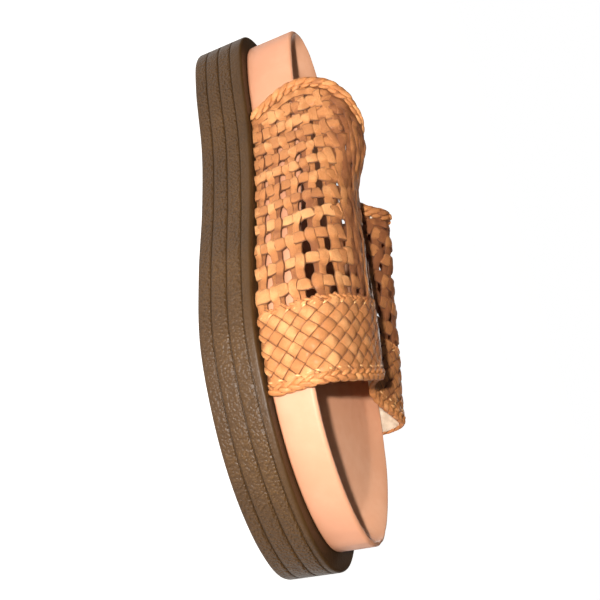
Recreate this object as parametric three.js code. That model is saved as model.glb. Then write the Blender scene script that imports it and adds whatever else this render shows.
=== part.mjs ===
// Right platform slide sandal: a thick rubber outsole, a leather-wrapped footbed
// and one wide woven upper with plaited bindings along its two free edges.
// Millimetres. +X points to the toe, +Y to the big-toe side, +Z up.
// The origin is on the ground, half way along the sole.

import * as THREE from 'three';

// Driving dimensions of the sole
const soleLength = 266;
const outsoleHeelHeight = 26.2;
const outsoleToeHeight = 24;
const footbedHeelWall = 24.7;
const footbedToeWall = 17.2;
const footbedWallSettles = 0.8;
const toeSpring = 0.8;
const toeSpringStart = 100;
const ledgeWidth = 5.6;
const ledgeToeExtra = 2.4;
const ledgeHeelExtra = 1;
const ledgeEndStart = 88;
const outlineSteps = 80;
const seatGap = 0.3;
const upperWallGap = 0.39;

// Side of the outsole: grooves as shares of its height, at the heel and at the toe
const grooves = [
  { heel: 0.25, toe: 0.26 },
  { heel: 0.5, toe: 0.59 },
  { heel: 0.75, toe: 0.88 },
];
const grooveWidth = 1.6;
const grooveDepth = 1.0;
const treadEdge = 0.7;
const rimBevel = 1.3;

// Outline of the outsole: half widths to the little-toe and big-toe sides of the centre line
const outlineRows = [
  { x: -129, outer: 14, inner: 13.5 },
  { x: -118, outer: 24, inner: 23.2 },
  { x: -98, outer: 28.7, inner: 31.2 },
  { x: -62, outer: 30.8, inner: 31.5 },
  { x: -27, outer: 38.4, inner: 33.5 },
  { x: 7, outer: 48.8, inner: 40.5 },
  { x: 40, outer: 55, inner: 47.5 },
  { x: 68, outer: 51.5, inner: 51 },
  { x: 90, outer: 44.2, inner: 48 },
  { x: 109, outer: 33.2, inner: 38.8 },
  { x: 122.5, outer: 21.5, inner: 27.5 },
  { x: 130.7, outer: 9.5, inner: 15.5 },
];
const toeTipY = 3;

// Footbed: rounded rim and dished top
const rimRound = 2.2;
const rimFlat = 2.0;
const dishSlope = 9;
const dishDepthHeel = 9;
const dishDepthToe = 12;
const dishFarRise = 0.75;
const dishFarStart = -24;
const dishFarEnd = 40;
const archRise = 3;
const archCentreX = -8;
const archReach = 38;
const archAcross = 30;
const rimShoulder = 0.3;

// Rows of the dish from the rim inward: share of its slope and of its depth
const dishRows = [
  { slope: 0, depth: 0.12 },
  { slope: 0.5, depth: 0.62 },
  { slope: 1, depth: 1 },
];

// Upper: sections across the foot, from the heel side to the toe side
const upperSections = [
  { x: -72, nearY: -13, nearZ: 71.5, dipY: 3, dipZ: 60, farY: 19, farZ: 67 },
  { x: -47, nearY: -13, nearZ: 71, dipY: 4, dipZ: 58, farY: 20, farZ: 68.5 },
  { x: -27, nearY: -14, nearZ: 64.5, dipY: 5, dipZ: 55, farY: 21, farZ: 69 },
  { x: 8, nearY: -18, nearZ: 64, dipY: 7, dipZ: 52, farY: 27, farZ: 63 },
  { x: 38, nearY: -17, nearZ: 62, dipY: 10, dipZ: 49.5, farY: 34, farZ: 57.5 },
  { x: 74, nearY: -12, nearZ: 57, dipY: 14, dipZ: 47.5, farY: 40, farZ: 51.3 },
];

// Free edges of the upper, by the share of the way around it from the little-toe side
const upperEdges = [
  { around: 0, heelward: -75, toeward: 66 },
  { around: 0.16, heelward: -83.5, toeward: 65 },
  { around: 0.3, heelward: -79, toeward: 63 },
  { around: 0.37, heelward: -67, toeward: 61.5 },
  { around: 0.53, heelward: -35, toeward: 58.5 },
  { around: 0.67, heelward: -27, toeward: 66 },
  { around: 0.83, heelward: -30, toeward: 72.5 },
  { around: 1, heelward: -40, toeward: 74 },
];

// Steps of a section, and how far apart directions and slopes are measured
const sectionSteps = 16;
const directionStepX = 3;
const directionStepAround = 0.012;
const slopeStepAround = 0.004;
const upperLengthAround = 150;

// Wall and weave of the upper
const wallThickness = 1.5;
const stripRise = 0.9;
const shoulderAboveRim = 1.0;
const lengthwiseStrips = 18;
const lengthwiseStripShare = 0.6;
const crossStripWidth = 6.4;
const crossPitchNear = 11.3;
const crossPitchFar = 9.8;
const crossPitchChange = { start: 0.3, end: 0.7 };
const crossFirst = 8;
const crossStrips = 9;
const closedColumns = 1;
const bandWidth = 33;
const bandSeam = 2.5;
const bandRows = 8;
const bindingWidth = 5;
const bindingRise = 2.4;
const bindingGap = 0.9;
const bindingClear = 1;
const bindingLumps = 34;
const bindingDent = 0.72;
const bindingStart = 0.004;

// Section of a binding, flat below and rounded above, as shares of its width and height
const bindingProfile = [
  { across: 0, rise: 0 },
  { across: 0, rise: 0.5 },
  { across: 0.25, rise: 1 },
  { across: 0.75, rise: 1 },
  { across: 1, rise: 0.5 },
  { across: 1, rise: 0 },
];

const leather = new THREE.MeshStandardMaterial({ color: 0xd2904f, roughness: 0.55, metalness: 0 });
const binding = new THREE.MeshStandardMaterial({ color: 0xc98546, roughness: 0.55, metalness: 0 });
const lining = new THREE.MeshStandardMaterial({ color: 0xf0c198, roughness: 0.6, metalness: 0 });
const rubber = new THREE.MeshStandardMaterial({ color: 0x6b5138, roughness: 0.75, metalness: 0 });

// Smooth value of one column of a table at a place along its key column
function between(rows, key, column, at) {
  let i = 0;
  while (i < rows.length - 2 && at > rows[i + 1][key]) {
    i += 1;
  }
  const [a, b] = [rows[i], rows[i + 1]];
  const before = rows[Math.max(i - 1, 0)];
  const after = rows[Math.min(i + 2, rows.length - 1)];
  const span = b[key] - a[key];
  const slopeA = (b[column] - before[column]) / (b[key] - before[key]);
  const slopeB = (after[column] - a[column]) / (after[key] - a[key]);
  const t = (at - a[key]) / span;
  if (t < 0) {
    return a[column] + slopeA * (at - a[key]);
  }
  if (t > 1) {
    return b[column] + slopeB * (at - b[key]);
  }
  const s = 1 - t;
  const ease = t * t * (3 - 2 * t);
  return a[column] * (1 - ease) + b[column] * ease + span * s * t * (slopeA * s - slopeB * t);
}

const lerp = THREE.MathUtils.lerp;
const along = (x) => x / soleLength + 0.5;

// Height of the outsole's top, of the footbed's rim, and of the ground under the toe
function springAt(x) {
  const t = Math.max(x - toeSpringStart, 0) / (soleLength / 2 - toeSpringStart);
  return toeSpring * t * t;
}

function outsoleTop(x) {
  return lerp(outsoleHeelHeight, outsoleToeHeight, along(x)) + springAt(x);
}

function rimHeight(x) {
  const settled = Math.min(along(x) / footbedWallSettles, 1);
  return outsoleTop(x) + lerp(footbedHeelWall, footbedToeWall, settled);
}

// Closed outline of the outsole as evenly spaced points with outward normals
function soleOutline() {
  const heel = new THREE.Vector3(-soleLength / 2, 0, 0);
  const toe = new THREE.Vector3(soleLength / 2, toeTipY, 0);
  const outer = outlineRows.map((row) => new THREE.Vector3(row.x, -row.outer, 0));
  const inner = outlineRows.map((row) => new THREE.Vector3(row.x, row.inner, 0)).reverse();
  const curve = new THREE.CatmullRomCurve3([heel, ...outer, toe, ...inner], true, 'centripetal');
  curve.arcLengthDivisions = 2000;
  return Array.from({ length: outlineSteps }, (_, i) => {
    const point = curve.getPointAt(i / outlineSteps);
    const tangent = curve.getTangentAt(i / outlineSteps);
    return { x: point.x, y: point.y, nx: tangent.y, ny: -tangent.x };
  });
}

const outline = soleOutline();

// How far the footbed stands in from the sole's edge: more at the toe and the heel
function ledgeAt(x) {
  const end = (reach) => (Math.max(reach - ledgeEndStart, 0) / (soleLength / 2 - ledgeEndStart)) ** 2;
  return ledgeWidth + ledgeToeExtra * end(x) + ledgeHeelExtra * end(-x);
}

function outlinePoint(i, inset) {
  const p = outline[(i + outlineSteps) % outlineSteps];
  return { x: p.x - p.nx * inset, y: p.y - p.ny * inset };
}

// A closed mesh gathered from points and faces
class Solid {
  constructor() {
    this.points = [];
    this.faces = [];
  }

  point(x, y, z) {
    this.points.push(x, y, z);
    return this.points.length / 3 - 1;
  }

  face(...corners) {
    for (let i = 2; i < corners.length; i += 1) {
      this.faces.push(corners[0], corners[i - 1], corners[i]);
    }
  }

  mesh(name, material) {
    const geometry = new THREE.BufferGeometry();
    geometry.setAttribute('position', new THREE.Float32BufferAttribute(this.points, 3));
    geometry.setIndex(this.faces);
    geometry.computeVertexNormals();
    const mesh = new THREE.Mesh(geometry, material);
    mesh.name = name;
    return mesh;
  }
}

// Joins rings of equal length into a closed body; the first and last rings are filled across
function stackRings(solid, rings) {
  const count = rings[0].length;
  for (let r = 0; r + 1 < rings.length; r += 1) {
    for (let i = 0; i < count; i += 1) {
      const j = (i + 1) % count;
      solid.face(rings[r][i], rings[r][j], rings[r + 1][j], rings[r + 1][i]);
    }
  }
  fillAcross(solid, rings[0], true);
  fillAcross(solid, rings[rings.length - 1], false);
}

// Fills a ring with strips that run straight across the sole
function fillAcross(solid, ring, facesDown) {
  const count = ring.length;
  for (let i = 0; i < count / 2; i += 1) {
    const corners = [ring[i], ring[i + 1], ring[(count - i - 1) % count], ring[(count - i) % count]];
    const unlike = corners.filter((corner, k) => corners.indexOf(corner) === k);
    solid.face(...(facesDown ? unlike.reverse() : unlike));
  }
}

// Outsole: flat tread, grooved side, small bevel at the rim
function outsole() {
  const solid = new Solid();
  const ring = (inset, height) => outline.map((_, i) => {
    const p = outlinePoint(i, inset);
    const share = along(p.x);
    return solid.point(p.x, p.y, springAt(p.x) + height(share, outsoleTop(p.x) - springAt(p.x)));
  });
  const rings = [ring(treadEdge, () => 0), ring(0, () => treadEdge)];
  for (const groove of grooves) {
    const centre = (share, top) => top * lerp(groove.heel, groove.toe, share);
    rings.push(ring(0, (share, top) => centre(share, top) - grooveWidth / 2));
    rings.push(ring(grooveDepth, centre));
    rings.push(ring(0, (share, top) => centre(share, top) + grooveWidth / 2));
  }
  rings.push(ring(0, (_, top) => top - rimBevel));
  rings.push(ring(rimBevel, (_, top) => top));
  stackRings(solid, rings);
  return solid.mesh('outsole', rubber);
}

// Depth of the dished top under the rim: it rises toward the big-toe side, and more at the arch
function dishDepth(x, y) {
  const farShare = THREE.MathUtils.smoothstep(y, dishFarStart, dishFarEnd);
  const depth = lerp(dishDepthHeel, dishDepthToe, along(x)) * (1 - dishFarRise * farShare);
  const archAlong = Math.exp(-(((x - archCentreX) / archReach) ** 2));
  const arch = archAlong * THREE.MathUtils.clamp(y / archAcross, 0, 1);
  return depth - Math.min(archRise * arch, depth / 2);
}

// Footbed: upright leather wall, rounded rim, dished top
function footbed() {
  const solid = new Solid();
  const ring = (inset, height) => outline.map((_, i) => {
    const p = outlinePoint(i, ledgeAt(outline[i].x) + inset);
    return solid.point(p.x, p.y, height(p.x, p.y));
  });
  const rimRings = [
    ring(0, (x) => outsoleTop(x) + seatGap),
    ring(0, (x) => rimHeight(x) - rimRound),
    ring(rimRound * rimShoulder, (x) => rimHeight(x) - rimRound * rimShoulder),
    ring(rimRound, (x) => rimHeight(x)),
  ];
  const dishRings = dishRows.map(({ slope, depth }) => {
    const inset = rimRound + rimFlat + dishSlope * slope;
    return ring(inset, (x, y) => rimHeight(x) - dishDepth(x, y) * depth);
  });
  stackRings(solid, [...rimRings, ...dishRings]);
  return solid.mesh('footbed', lining);
}

function footbedPoint(i) {
  const { x } = outlinePoint(i, 0);
  return outlinePoint(i, ledgeAt(x));
}

// Where the footbed's side wall stands at a place along the sole, on one side
function footbedSide(x, side) {
  const reach = outlineSteps / 2;
  for (let k = 0; k < reach; k += 1) {
    const a = footbedPoint(side * k);
    const b = footbedPoint(side * (k + 1));
    if (x >= a.x && x <= b.x) {
      const t = (x - a.x) / (b.x - a.x);
      const lean = Math.hypot(b.x - a.x, b.y - a.y) / (b.x - a.x);
      return lerp(a.y, b.y, t) - side * upperWallGap * lean;
    }
  }
  throw new Error('no sole at this place');
}

// One section of the upper's inner face across the foot, as a fine line of y and z
function upperSection(x) {
  const at = (column) => between(upperSections, 'x', column, x);
  const base = outsoleTop(x) + seatGap;
  const shoulder = rimHeight(x) + shoulderAboveRim;
  const near = { y: footbedSide(x, 1), crestY: at('nearY'), crestZ: at('nearZ') };
  const far = { y: footbedSide(x, -1), crestY: at('farY'), crestZ: at('farZ') };
  const dip = { y: at('dipY'), z: at('dipZ') };
  const line = [];
  const flank = (side, t) => ({
    y: lerp(side.crestY, side.y, Math.cos(t * Math.PI / 2)),
    z: lerp(shoulder, side.crestZ, Math.sin(t * Math.PI / 2)),
  });
  const sag = (from, t) => ({
    y: lerp(from.crestY, dip.y, t),
    z: lerp(from.crestZ, dip.z, (1 - Math.cos(t * Math.PI)) / 2),
  });
  const steps = sectionSteps;
  line.push({ y: near.y, z: base });
  for (let i = 0; i < steps; i += 1) {
    line.push(flank(near, i / steps));
  }
  for (let i = 0; i < steps; i += 1) {
    line.push(sag(near, i / steps));
  }
  for (let i = steps; i > 0; i -= 1) {
    line.push(sag(far, i / steps));
  }
  for (let i = steps; i >= 0; i -= 1) {
    line.push(flank(far, i / steps));
  }
  line.push({ y: far.y, z: base });
  return line;
}

// Point of the upper's inner face: a place along the sole and a share of the way around
function innerFace(x, around) {
  const line = upperSection(x);
  const lengths = [0];
  for (let i = 1; i < line.length; i += 1) {
    lengths.push(lengths[i - 1] + Math.hypot(line[i].y - line[i - 1].y, line[i].z - line[i - 1].z));
  }
  const total = lengths[lengths.length - 1];
  const wanted = THREE.MathUtils.clamp(around, 0, 1) * total;
  let i = 1;
  while (i < line.length - 1 && lengths[i] < wanted) {
    i += 1;
  }
  const t = (wanted - lengths[i - 1]) / (lengths[i] - lengths[i - 1]);
  return new THREE.Vector3(x, lerp(line[i - 1].y, line[i].y, t), lerp(line[i - 1].z, line[i].z, t));
}

// Directions along the sole, around the upper and out of it, at one point of the inner face
function faceDirections(x, around) {
  const low = Math.max(around - directionStepAround, 0);
  const high = Math.min(around + directionStepAround, 1);
  const alongX = innerFace(x + directionStepX, around)
    .sub(innerFace(x - directionStepX, around))
    .divideScalar(2 * directionStepX);
  const alongAround = innerFace(x, high).sub(innerFace(x, low)).divideScalar(high - low);
  const out = new THREE.Vector3().crossVectors(alongX, alongAround).normalize();
  if (around <= 0 || around >= 1) {
    out.setZ(0).normalize();
  }
  return { alongX, alongAround, out };
}

// Point of the upper at a height above its inner face
function upperPoint(x, around, height) {
  const { out } = faceDirections(x, around);
  return innerFace(x, around).addScaledVector(out, height);
}

const edgeAt = (column, around) => between(upperEdges, 'around', column, around);

// A curved wall made of panels whose corners lie low or high above the inner face
class Wall {
  constructor(heights) {
    this.heights = heights;
    this.solid = new Solid();
    this.corners = [];
    this.known = new Map();
    this.sides = new Map();
  }

  corner(x, around) {
    const key = `${x.toFixed(3)} ${around.toFixed(5)}`;
    if (!this.known.has(key)) {
      this.known.set(key, this.corners.length);
      this.corners.push({ x, around, ids: {} });
    }
    return this.known.get(key);
  }

  id(corner, level) {
    const c = this.corners[corner];
    if (c.ids[level] === undefined) {
      const p = upperPoint(c.x, c.around, this.heights[level]);
      c.ids[level] = this.solid.point(p.x, p.y, p.z);
    }
    return c.ids[level];
  }

  // One panel: its corners in order, seen from outside, the level of each, and a raised middle if any
  panel(corners, levels, middle) {
    const outer = corners.map((corner, i) => this.id(corner, levels[i]));
    if (middle === undefined) {
      this.solid.face(...outer);
    } else {
      const peak = this.id(middle, 'high');
      outer.forEach((id, i) => this.solid.face(id, outer[(i + 1) % outer.length], peak));
    }
    this.solid.face(...corners.map((corner) => this.id(corner, 'inner')).reverse());
    corners.forEach((from, i) => {
      const j = (i + 1) % corners.length;
      this.sides.set(`${from} ${corners[j]}`, { from, to: corners[j], levels: [levels[i], levels[j]] });
    });
  }

  // Closes steps between neighbouring panels, and the wall's free edges and holes
  close() {
    for (const side of this.sides.values()) {
      const other = this.sides.get(`${side.to} ${side.from}`);
      if (other === undefined) {
        this.closeFreeSide(side);
      } else if (side.from < side.to) {
        this.closeStep(side, other);
      }
    }
  }

  closeStep(side, other) {
    const ids = [
      this.id(side.to, side.levels[1]),
      this.id(side.from, side.levels[0]),
      this.id(side.from, other.levels[1]),
      this.id(side.to, other.levels[0]),
    ];
    const unlike = ids.filter((id, i) => ids.indexOf(id) === i);
    if (unlike.length > 2) {
      this.solid.face(...unlike);
    }
  }

  closeFreeSide({ from, to, levels }) {
    const [low, high] = [this.id(from, 'low'), this.id(to, 'low')];
    if (levels[0] === 'high') {
      this.solid.face(high, this.id(from, 'high'), low);
    }
    if (levels[1] === 'high') {
      this.solid.face(this.id(to, 'high'), levels[0] === 'high' ? this.id(from, 'high') : low, high);
    }
    this.solid.face(high, low, this.id(from, 'inner'), this.id(to, 'inner'));
  }

  // Fills the space between two lines of corners that start and end side by side
  ladder(left, right) {
    let [i, j] = [0, 0];
    while (i < left.length - 1 || j < right.length - 1) {
      const nextLeft = i < left.length - 1 ? this.progress(left, i + 1) : Infinity;
      const nextRight = j < right.length - 1 ? this.progress(right, j + 1) : Infinity;
      if (nextLeft <= nextRight) {
        this.panel([left[i], right[j], left[i + 1]], ['low', 'low', 'low']);
        i += 1;
      } else {
        this.panel([left[i], right[j], right[j + 1]], ['low', 'low', 'low']);
        j += 1;
      }
    }
  }

  progress(line, i) {
    const [first, last] = [this.corners[line[0]], this.corners[line[line.length - 1]]];
    const here = this.corners[line[i]];
    const reach = (to) => Math.hypot(to.x - first.x, (to.around - first.around) * upperLengthAround);
    return reach(here) / reach(last);
  }
}

// Lines that bound the lengthwise strips, as shares of the way around
function weaveColumns() {
  const pitch = 1 / lengthwiseStrips;
  const half = pitch * lengthwiseStripShare / 2;
  const columns = [0];
  for (let j = 0; j < lengthwiseStrips; j += 1) {
    columns.push((j + 0.5) * pitch - half, (j + 0.5) * pitch + half);
  }
  columns.push(1);
  return columns;
}

// Distances back from the band to the lines that bound the cross strips, at one column
function weaveRows(around) {
  const { start, end } = crossPitchChange;
  const pitch = lerp(crossPitchNear, crossPitchFar, THREE.MathUtils.smoothstep(around, start, end));
  const rows = [0];
  for (let k = 0; k < crossStrips; k += 1) {
    const centre = crossFirst + k * pitch;
    rows.push(centre - crossStripWidth / 2, centre + crossStripWidth / 2);
  }
  return rows;
}

// Open weave: strips over and under each other, with gaps between them
function openWeave(wall) {
  const columns = weaveColumns();
  const seam = (around) => edgeAt('toeward', around) - bandWidth;
  const rear = (around) => edgeAt('heelward', around);
  const grid = columns.map((around) => weaveRows(around).map((back) => seam(around) - back));
  const room = columns.map((around, b) => {
    const { across } = edgeFrame('heelward', around);
    const limit = rear(around) + (bindingWidth + bindingClear) / across.length();
    return grid[b].filter((x) => x > limit).length - 1;
  });
  const spans = columns.slice(1).map((_, c) => 2 * Math.floor(Math.min(room[c], room[c + 1]) / 2));
  const at = (row, column) => wall.corner(grid[column][row], columns[column]);
  const crossIsOver = (q, c) => ((q - 1) / 2 + (c - 1) / 2) % 2 === 0;
  const levelOf = (high) => (high ? 'high' : 'low');
  spans.forEach((rows, c) => {
    for (let q = 0; q < rows; q += 1) {
      const corners = [at(q, c), at(q, c + 1), at(q + 1, c + 1), at(q + 1, c)];
      const onCross = q % 2 === 1;
      const onLong = c % 2 === 1;
      if (onCross && onLong) {
        wall.panel(corners, ['high', 'high', 'high', 'high']);
      } else if (onCross) {
        const left = levelOf(c > 0 && crossIsOver(q, c - 1));
        const right = levelOf(c < spans.length - 1 && crossIsOver(q, c + 1));
        wall.panel(corners, [left, right, right, left]);
      } else if (onLong) {
        const fore = levelOf(q > 0 && !crossIsOver(q - 1, c));
        const aft = levelOf(q + 1 < rows && !crossIsOver(q + 1, c));
        wall.panel(corners, [fore, fore, aft, aft]);
      } else if (c <= 2 * closedColumns || c >= spans.length - 1 - 2 * closedColumns) {
        wall.panel(corners, ['low', 'low', 'low', 'low']);
      }
    }
  });
  spans.forEach((rows, c) => {
    const left = rearLine(c, rows, Math.max(rows, spans[c - 1] ?? 0));
    const right = rearLine(c + 1, rows, Math.max(rows, spans[c + 1] ?? 0));
    wall.ladder(left, right);
  });
  function rearLine(column, from, to) {
    const line = [];
    for (let row = from; row <= to; row += 1) {
      line.push(at(row, column));
    }
    line.push(wall.corner(rear(columns[column]), columns[column]));
    return line;
  }
  return columns.map((_, column) => at(0, column));
}

// Dense band: a basket weave on the bias, each crossing raised in its middle
function denseBand(wall, seamLine) {
  const halves = 2 * lengthwiseStrips;
  const depth = bandWidth - bandSeam - bindingWidth;
  const at = (m, n) => {
    const around = n / halves;
    const toeward = edgeAt('toeward', around) - bindingWidth - depth * (1 - m / bandRows);
    return wall.corner(toeward, around);
  };
  for (let m = 0; m <= bandRows; m += 1) {
    for (let n = 0; n <= halves; n += 1) {
      if ((m + n) % 2 === 1) {
        const around = [[m - 1, n], [m, n - 1], [m + 1, n], [m, n + 1]];
        const inside = around.filter(([p, q]) => p >= 0 && p <= bandRows && q >= 0 && q <= halves);
        const corners = inside.map(([p, q]) => at(p, q));
        const whole = corners.length === 4;
        wall.panel(corners, corners.map(() => 'low'), whole ? at(m, n) : undefined);
      }
    }
  }
  const line = (m) => Array.from({ length: lengthwiseStrips + 1 }, (_, k) => at(m, 2 * k));
  wall.ladder(seamLine, line(0));
  const edge = line(bandRows).map((corner) => {
    const { around } = wall.corners[corner];
    return wall.corner(edgeAt('toeward', around), around);
  });
  wall.ladder(line(bandRows), edge);
}

// Upper: one hollow wall, open at the toe, at the heel and underneath
function upper() {
  const wall = new Wall({ inner: 0, low: wallThickness, high: wallThickness + stripRise });
  const seamLine = openWeave(wall);
  denseBand(wall, seamLine);
  wall.close();
  return wall.solid.mesh('upper', leather);
}

// At one place of a free edge: how fast it runs along the sole, and the direction square to it
function edgeFrame(column, around) {
  const x = edgeAt(column, around);
  const step = slopeStepAround;
  const slope = (edgeAt(column, around + step) - edgeAt(column, around - step)) / (2 * step);
  const { alongX, alongAround } = faceDirections(x, around);
  const run = alongAround.clone().addScaledVector(alongX, slope);
  const share = alongX.dot(run) / run.lengthSq();
  const across = alongX.clone().addScaledVector(run, -share);
  return { x, slope, share, across };
}

// Plaited binding along a free edge, lying on the upper's outer face
function edgeBinding(name, column, inward) {
  const solid = new Solid();
  const stations = 2 * bindingLumps;
  const floor = wallThickness + bindingGap;
  const rings = [];
  for (let k = 0; k <= stations; k += 1) {
    const around = lerp(bindingStart, 1 - bindingStart, k / stations);
    const lump = k % 2 === 0 ? bindingDent : 1;
    rings.push(bindingRing(solid, column, around, inward, floor, lump));
  }
  for (let k = 0; k < stations; k += 1) {
    rings[k].forEach((id, i) => {
      const j = (i + 1) % rings[k].length;
      solid.face(id, rings[k][j], rings[k + 1][j], rings[k + 1][i]);
    });
  }
  solid.face(...[...rings[0]].reverse());
  solid.face(...rings[stations]);
  if (inward < 0) {
    turnInsideOut(solid);
  }
  return solid.mesh(name, binding);
}

// One section of a binding, square to the edge that it follows
function bindingRing(solid, column, around, inward, floor, lump) {
  const { x, slope, share, across } = edgeFrame(column, around);
  const scale = inward / across.length();
  return bindingProfile.map((p) => {
    const reach = p.across * bindingWidth * scale;
    const place = upperPoint(
      x + reach * (1 - share * slope),
      around - reach * share,
      floor + p.rise * bindingRise * lump,
    );
    return solid.point(place.x, place.y, place.z);
  });
}

function turnInsideOut(solid) {
  for (let i = 0; i < solid.faces.length; i += 3) {
    [solid.faces[i], solid.faces[i + 1]] = [solid.faces[i + 1], solid.faces[i]];
  }
}

const sandal = new THREE.Group();
sandal.add(outsole());
sandal.add(footbed());
sandal.add(upper());
sandal.add(edgeBinding('collar_binding', 'heelward', 1));
sandal.add(edgeBinding('front_binding', 'toeward', -1));

export default sandal;
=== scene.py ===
"""Right platform slide sandal: grooved rubber sole, leather footbed and a woven leather upper.

Sizes are in millimetres in the classes and become metres when a mesh is made.
+X points to the toe, +Y to the big-toe side, +Z up, and the origin is on the ground.
"""

import logging
import math
from dataclasses import dataclass, field
from enum import Enum
from typing import Callable

import bpy
import numpy as np
from mathutils import Matrix, Vector


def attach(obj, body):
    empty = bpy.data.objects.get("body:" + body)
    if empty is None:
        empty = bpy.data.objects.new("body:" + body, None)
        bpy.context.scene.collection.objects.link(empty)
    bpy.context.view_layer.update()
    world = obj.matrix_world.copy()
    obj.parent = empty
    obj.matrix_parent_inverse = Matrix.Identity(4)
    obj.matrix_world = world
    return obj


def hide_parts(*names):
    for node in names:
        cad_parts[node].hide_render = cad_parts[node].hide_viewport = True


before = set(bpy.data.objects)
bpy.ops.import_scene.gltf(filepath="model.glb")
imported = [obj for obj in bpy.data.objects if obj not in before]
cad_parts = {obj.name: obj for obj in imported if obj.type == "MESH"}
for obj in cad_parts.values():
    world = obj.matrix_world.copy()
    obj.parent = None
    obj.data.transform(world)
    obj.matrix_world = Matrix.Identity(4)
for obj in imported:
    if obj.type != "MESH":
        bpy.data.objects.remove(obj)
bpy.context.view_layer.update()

LOG = logging.getLogger("sandal")
MM = 0.001
CURVE_STEPS = 80
ROW_SPACING = 1.2
LOBE_RINGS = 7
LOBE_SIDES = 8
LOBE_FULLNESS = 2.4
SEED_SPACING = 1.7
UNEVEN_SCALE = 90.0
SECOND_DRAW = 7
Array = np.ndarray
Socket = bpy.types.NodeSocket
Rgb = tuple[float, float, float]


class Part(Enum):
    """The solids that the visible pieces stand for."""

    OUTSOLE = "outsole"
    FOOTBED = "footbed"
    UPPER = "upper"
    COLLAR_BINDING = "collar_binding"
    FRONT_BINDING = "front_binding"


class Slot(Enum):
    """Material slots of the record."""

    RUBBER = "sole_rubber"
    FOOTBED = "footbed_leather"
    WOVEN = "woven_leather"
    BINDING = "binding_leather"


class Side(Enum):
    """Sides of the foot, by the sign that y has there."""

    LITTLE_TOE = -1
    BIG_TOE = 1


class Row(Enum):
    """Kinds of rows that the footbed's outside is made of."""

    WALL = "wall"
    RIM = "rim"
    DISH = "dish"


class Column(Enum):
    """Free edges of the upper, by their column in its table of edges."""

    COLLAR = "heelward"
    FRONT = "toeward"

    @property
    def inward(self) -> int:
        """Which way along the sole the upper lies from the edge."""
        return 1 if self is Column.COLLAR else -1


class Table:
    """A short table with a key column, read with a smooth curve between its rows."""

    def __init__(self, key: str, rows: list[dict[str, float]]) -> None:
        """Keeps the rows as one array for each column.

        Args:
            key: Name of the column that rises from row to row.
            rows: The rows.
        """
        self.key = np.array([row[key] for row in rows], float)
        self.columns = {name: np.array([row[name] for row in rows], float) for name in rows[0]}

    def value(self, column: str, at: Array | float) -> Array:
        """Smooth value of a column.

        Args:
            column: Name of the column.
            at: Places along the key column.

        Returns:
            The values, one for each place.
        """
        place = np.atleast_1d(np.asarray(at, float))
        key, col = self.key, self.columns[column]
        last = len(key) - 1
        i = np.clip(np.searchsorted(key, place, side="left") - 1, 0, last - 1)
        before = np.maximum(i - 1, 0)
        after = np.minimum(i + 2, last)
        span = key[i + 1] - key[i]
        slope_a = (col[i + 1] - col[before]) / (key[i + 1] - key[before])
        slope_b = (col[after] - col[i]) / (key[after] - key[i])
        t = (place - key[i]) / span
        s = 1 - t
        ease = t * t * (3 - 2 * t)
        inside = col[i] * (1 - ease) + col[i + 1] * ease + span * s * t * (slope_a * s - slope_b * t)
        low = col[i] + slope_a * (place - key[i])
        high = col[i + 1] + slope_b * (place - key[i + 1])
        return np.where(t < 0, low, np.where(t > 1, high, inside))


def smoothstep(low: float, high: float, at: Array | float) -> Array:
    """Smooth rise from 0 at low to 1 at high.

    Args:
        low: Where the rise starts.
        high: Where it ends.
        at: Places to read.

    Returns:
        Values from 0 to 1.
    """
    t = np.clip((np.asarray(at, float) - low) / (high - low), 0, 1)
    return t * t * (3 - 2 * t)


def distances_along(points: Array) -> Array:
    """Distance along a row of points up to each of them."""
    return np.concatenate([[0], np.cumsum(np.linalg.norm(np.diff(points, axis=0), axis=1))])


def ring_faces(ids: Array) -> Array:
    """Faces between neighbouring closed rings, given as rows of point numbers."""
    turned = np.roll(ids, -1, 1)
    return np.stack([ids[:-1], turned[:-1], turned[1:], ids[1:]], -1).reshape(-1, 4)


def closed_curve(corners: Array, count: int) -> Array:
    """Even points on a smooth closed curve through the corners.

    Args:
        corners: The points that the curve goes through, one row each.
        count: How many points to return.

    Returns:
        The points, one row each, starting at the first corner.
    """
    n = len(corners)
    fine = []
    for i in range(n):
        p = [corners[(i + k - 1) % n] for k in range(4)]
        gap = [max(np.linalg.norm(p[k + 1] - p[k]), 1e-6) ** 0.5 for k in range(3)]
        start = (p[1] - p[0]) / gap[0] - (p[2] - p[0]) / (gap[0] + gap[1]) + (p[2] - p[1]) / gap[1]
        end = (p[2] - p[1]) / gap[1] - (p[3] - p[1]) / (gap[1] + gap[2]) + (p[3] - p[2]) / gap[2]
        t = np.linspace(0, 1, CURVE_STEPS, endpoint=False)[:, None]
        a, b = start * gap[1], end * gap[1]
        fine.append(
            (2 * t**3 - 3 * t**2 + 1) * p[1] + (t**3 - 2 * t**2 + t) * a
            + (3 * t**2 - 2 * t**3) * p[2] + (t**3 - t**2) * b
        )
    line = np.vstack(fine + [corners[:1]])
    walked = distances_along(line)
    wanted = np.linspace(0, walked[-1], count, endpoint=False)
    return np.stack([np.interp(wanted, walked, line[:, k]) for k in range(line.shape[1])], 1)


def make_object(name: str, points: Array, faces: list | Array) -> bpy.types.Object:
    """A mesh object at the origin.

    Args:
        name: Name of the piece.
        points: Points in millimetres, one row each.
        faces: Faces as rows of point numbers.

    Returns:
        The new object.
    """
    mesh = bpy.data.meshes.new(name)
    mesh.from_pydata((np.asarray(points) * MM).tolist(), [], [list(map(int, f)) for f in faces])
    mesh.update()
    mesh.shade_smooth()
    obj = bpy.data.objects.new(name, mesh)
    bpy.context.scene.collection.objects.link(obj)
    return obj


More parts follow.
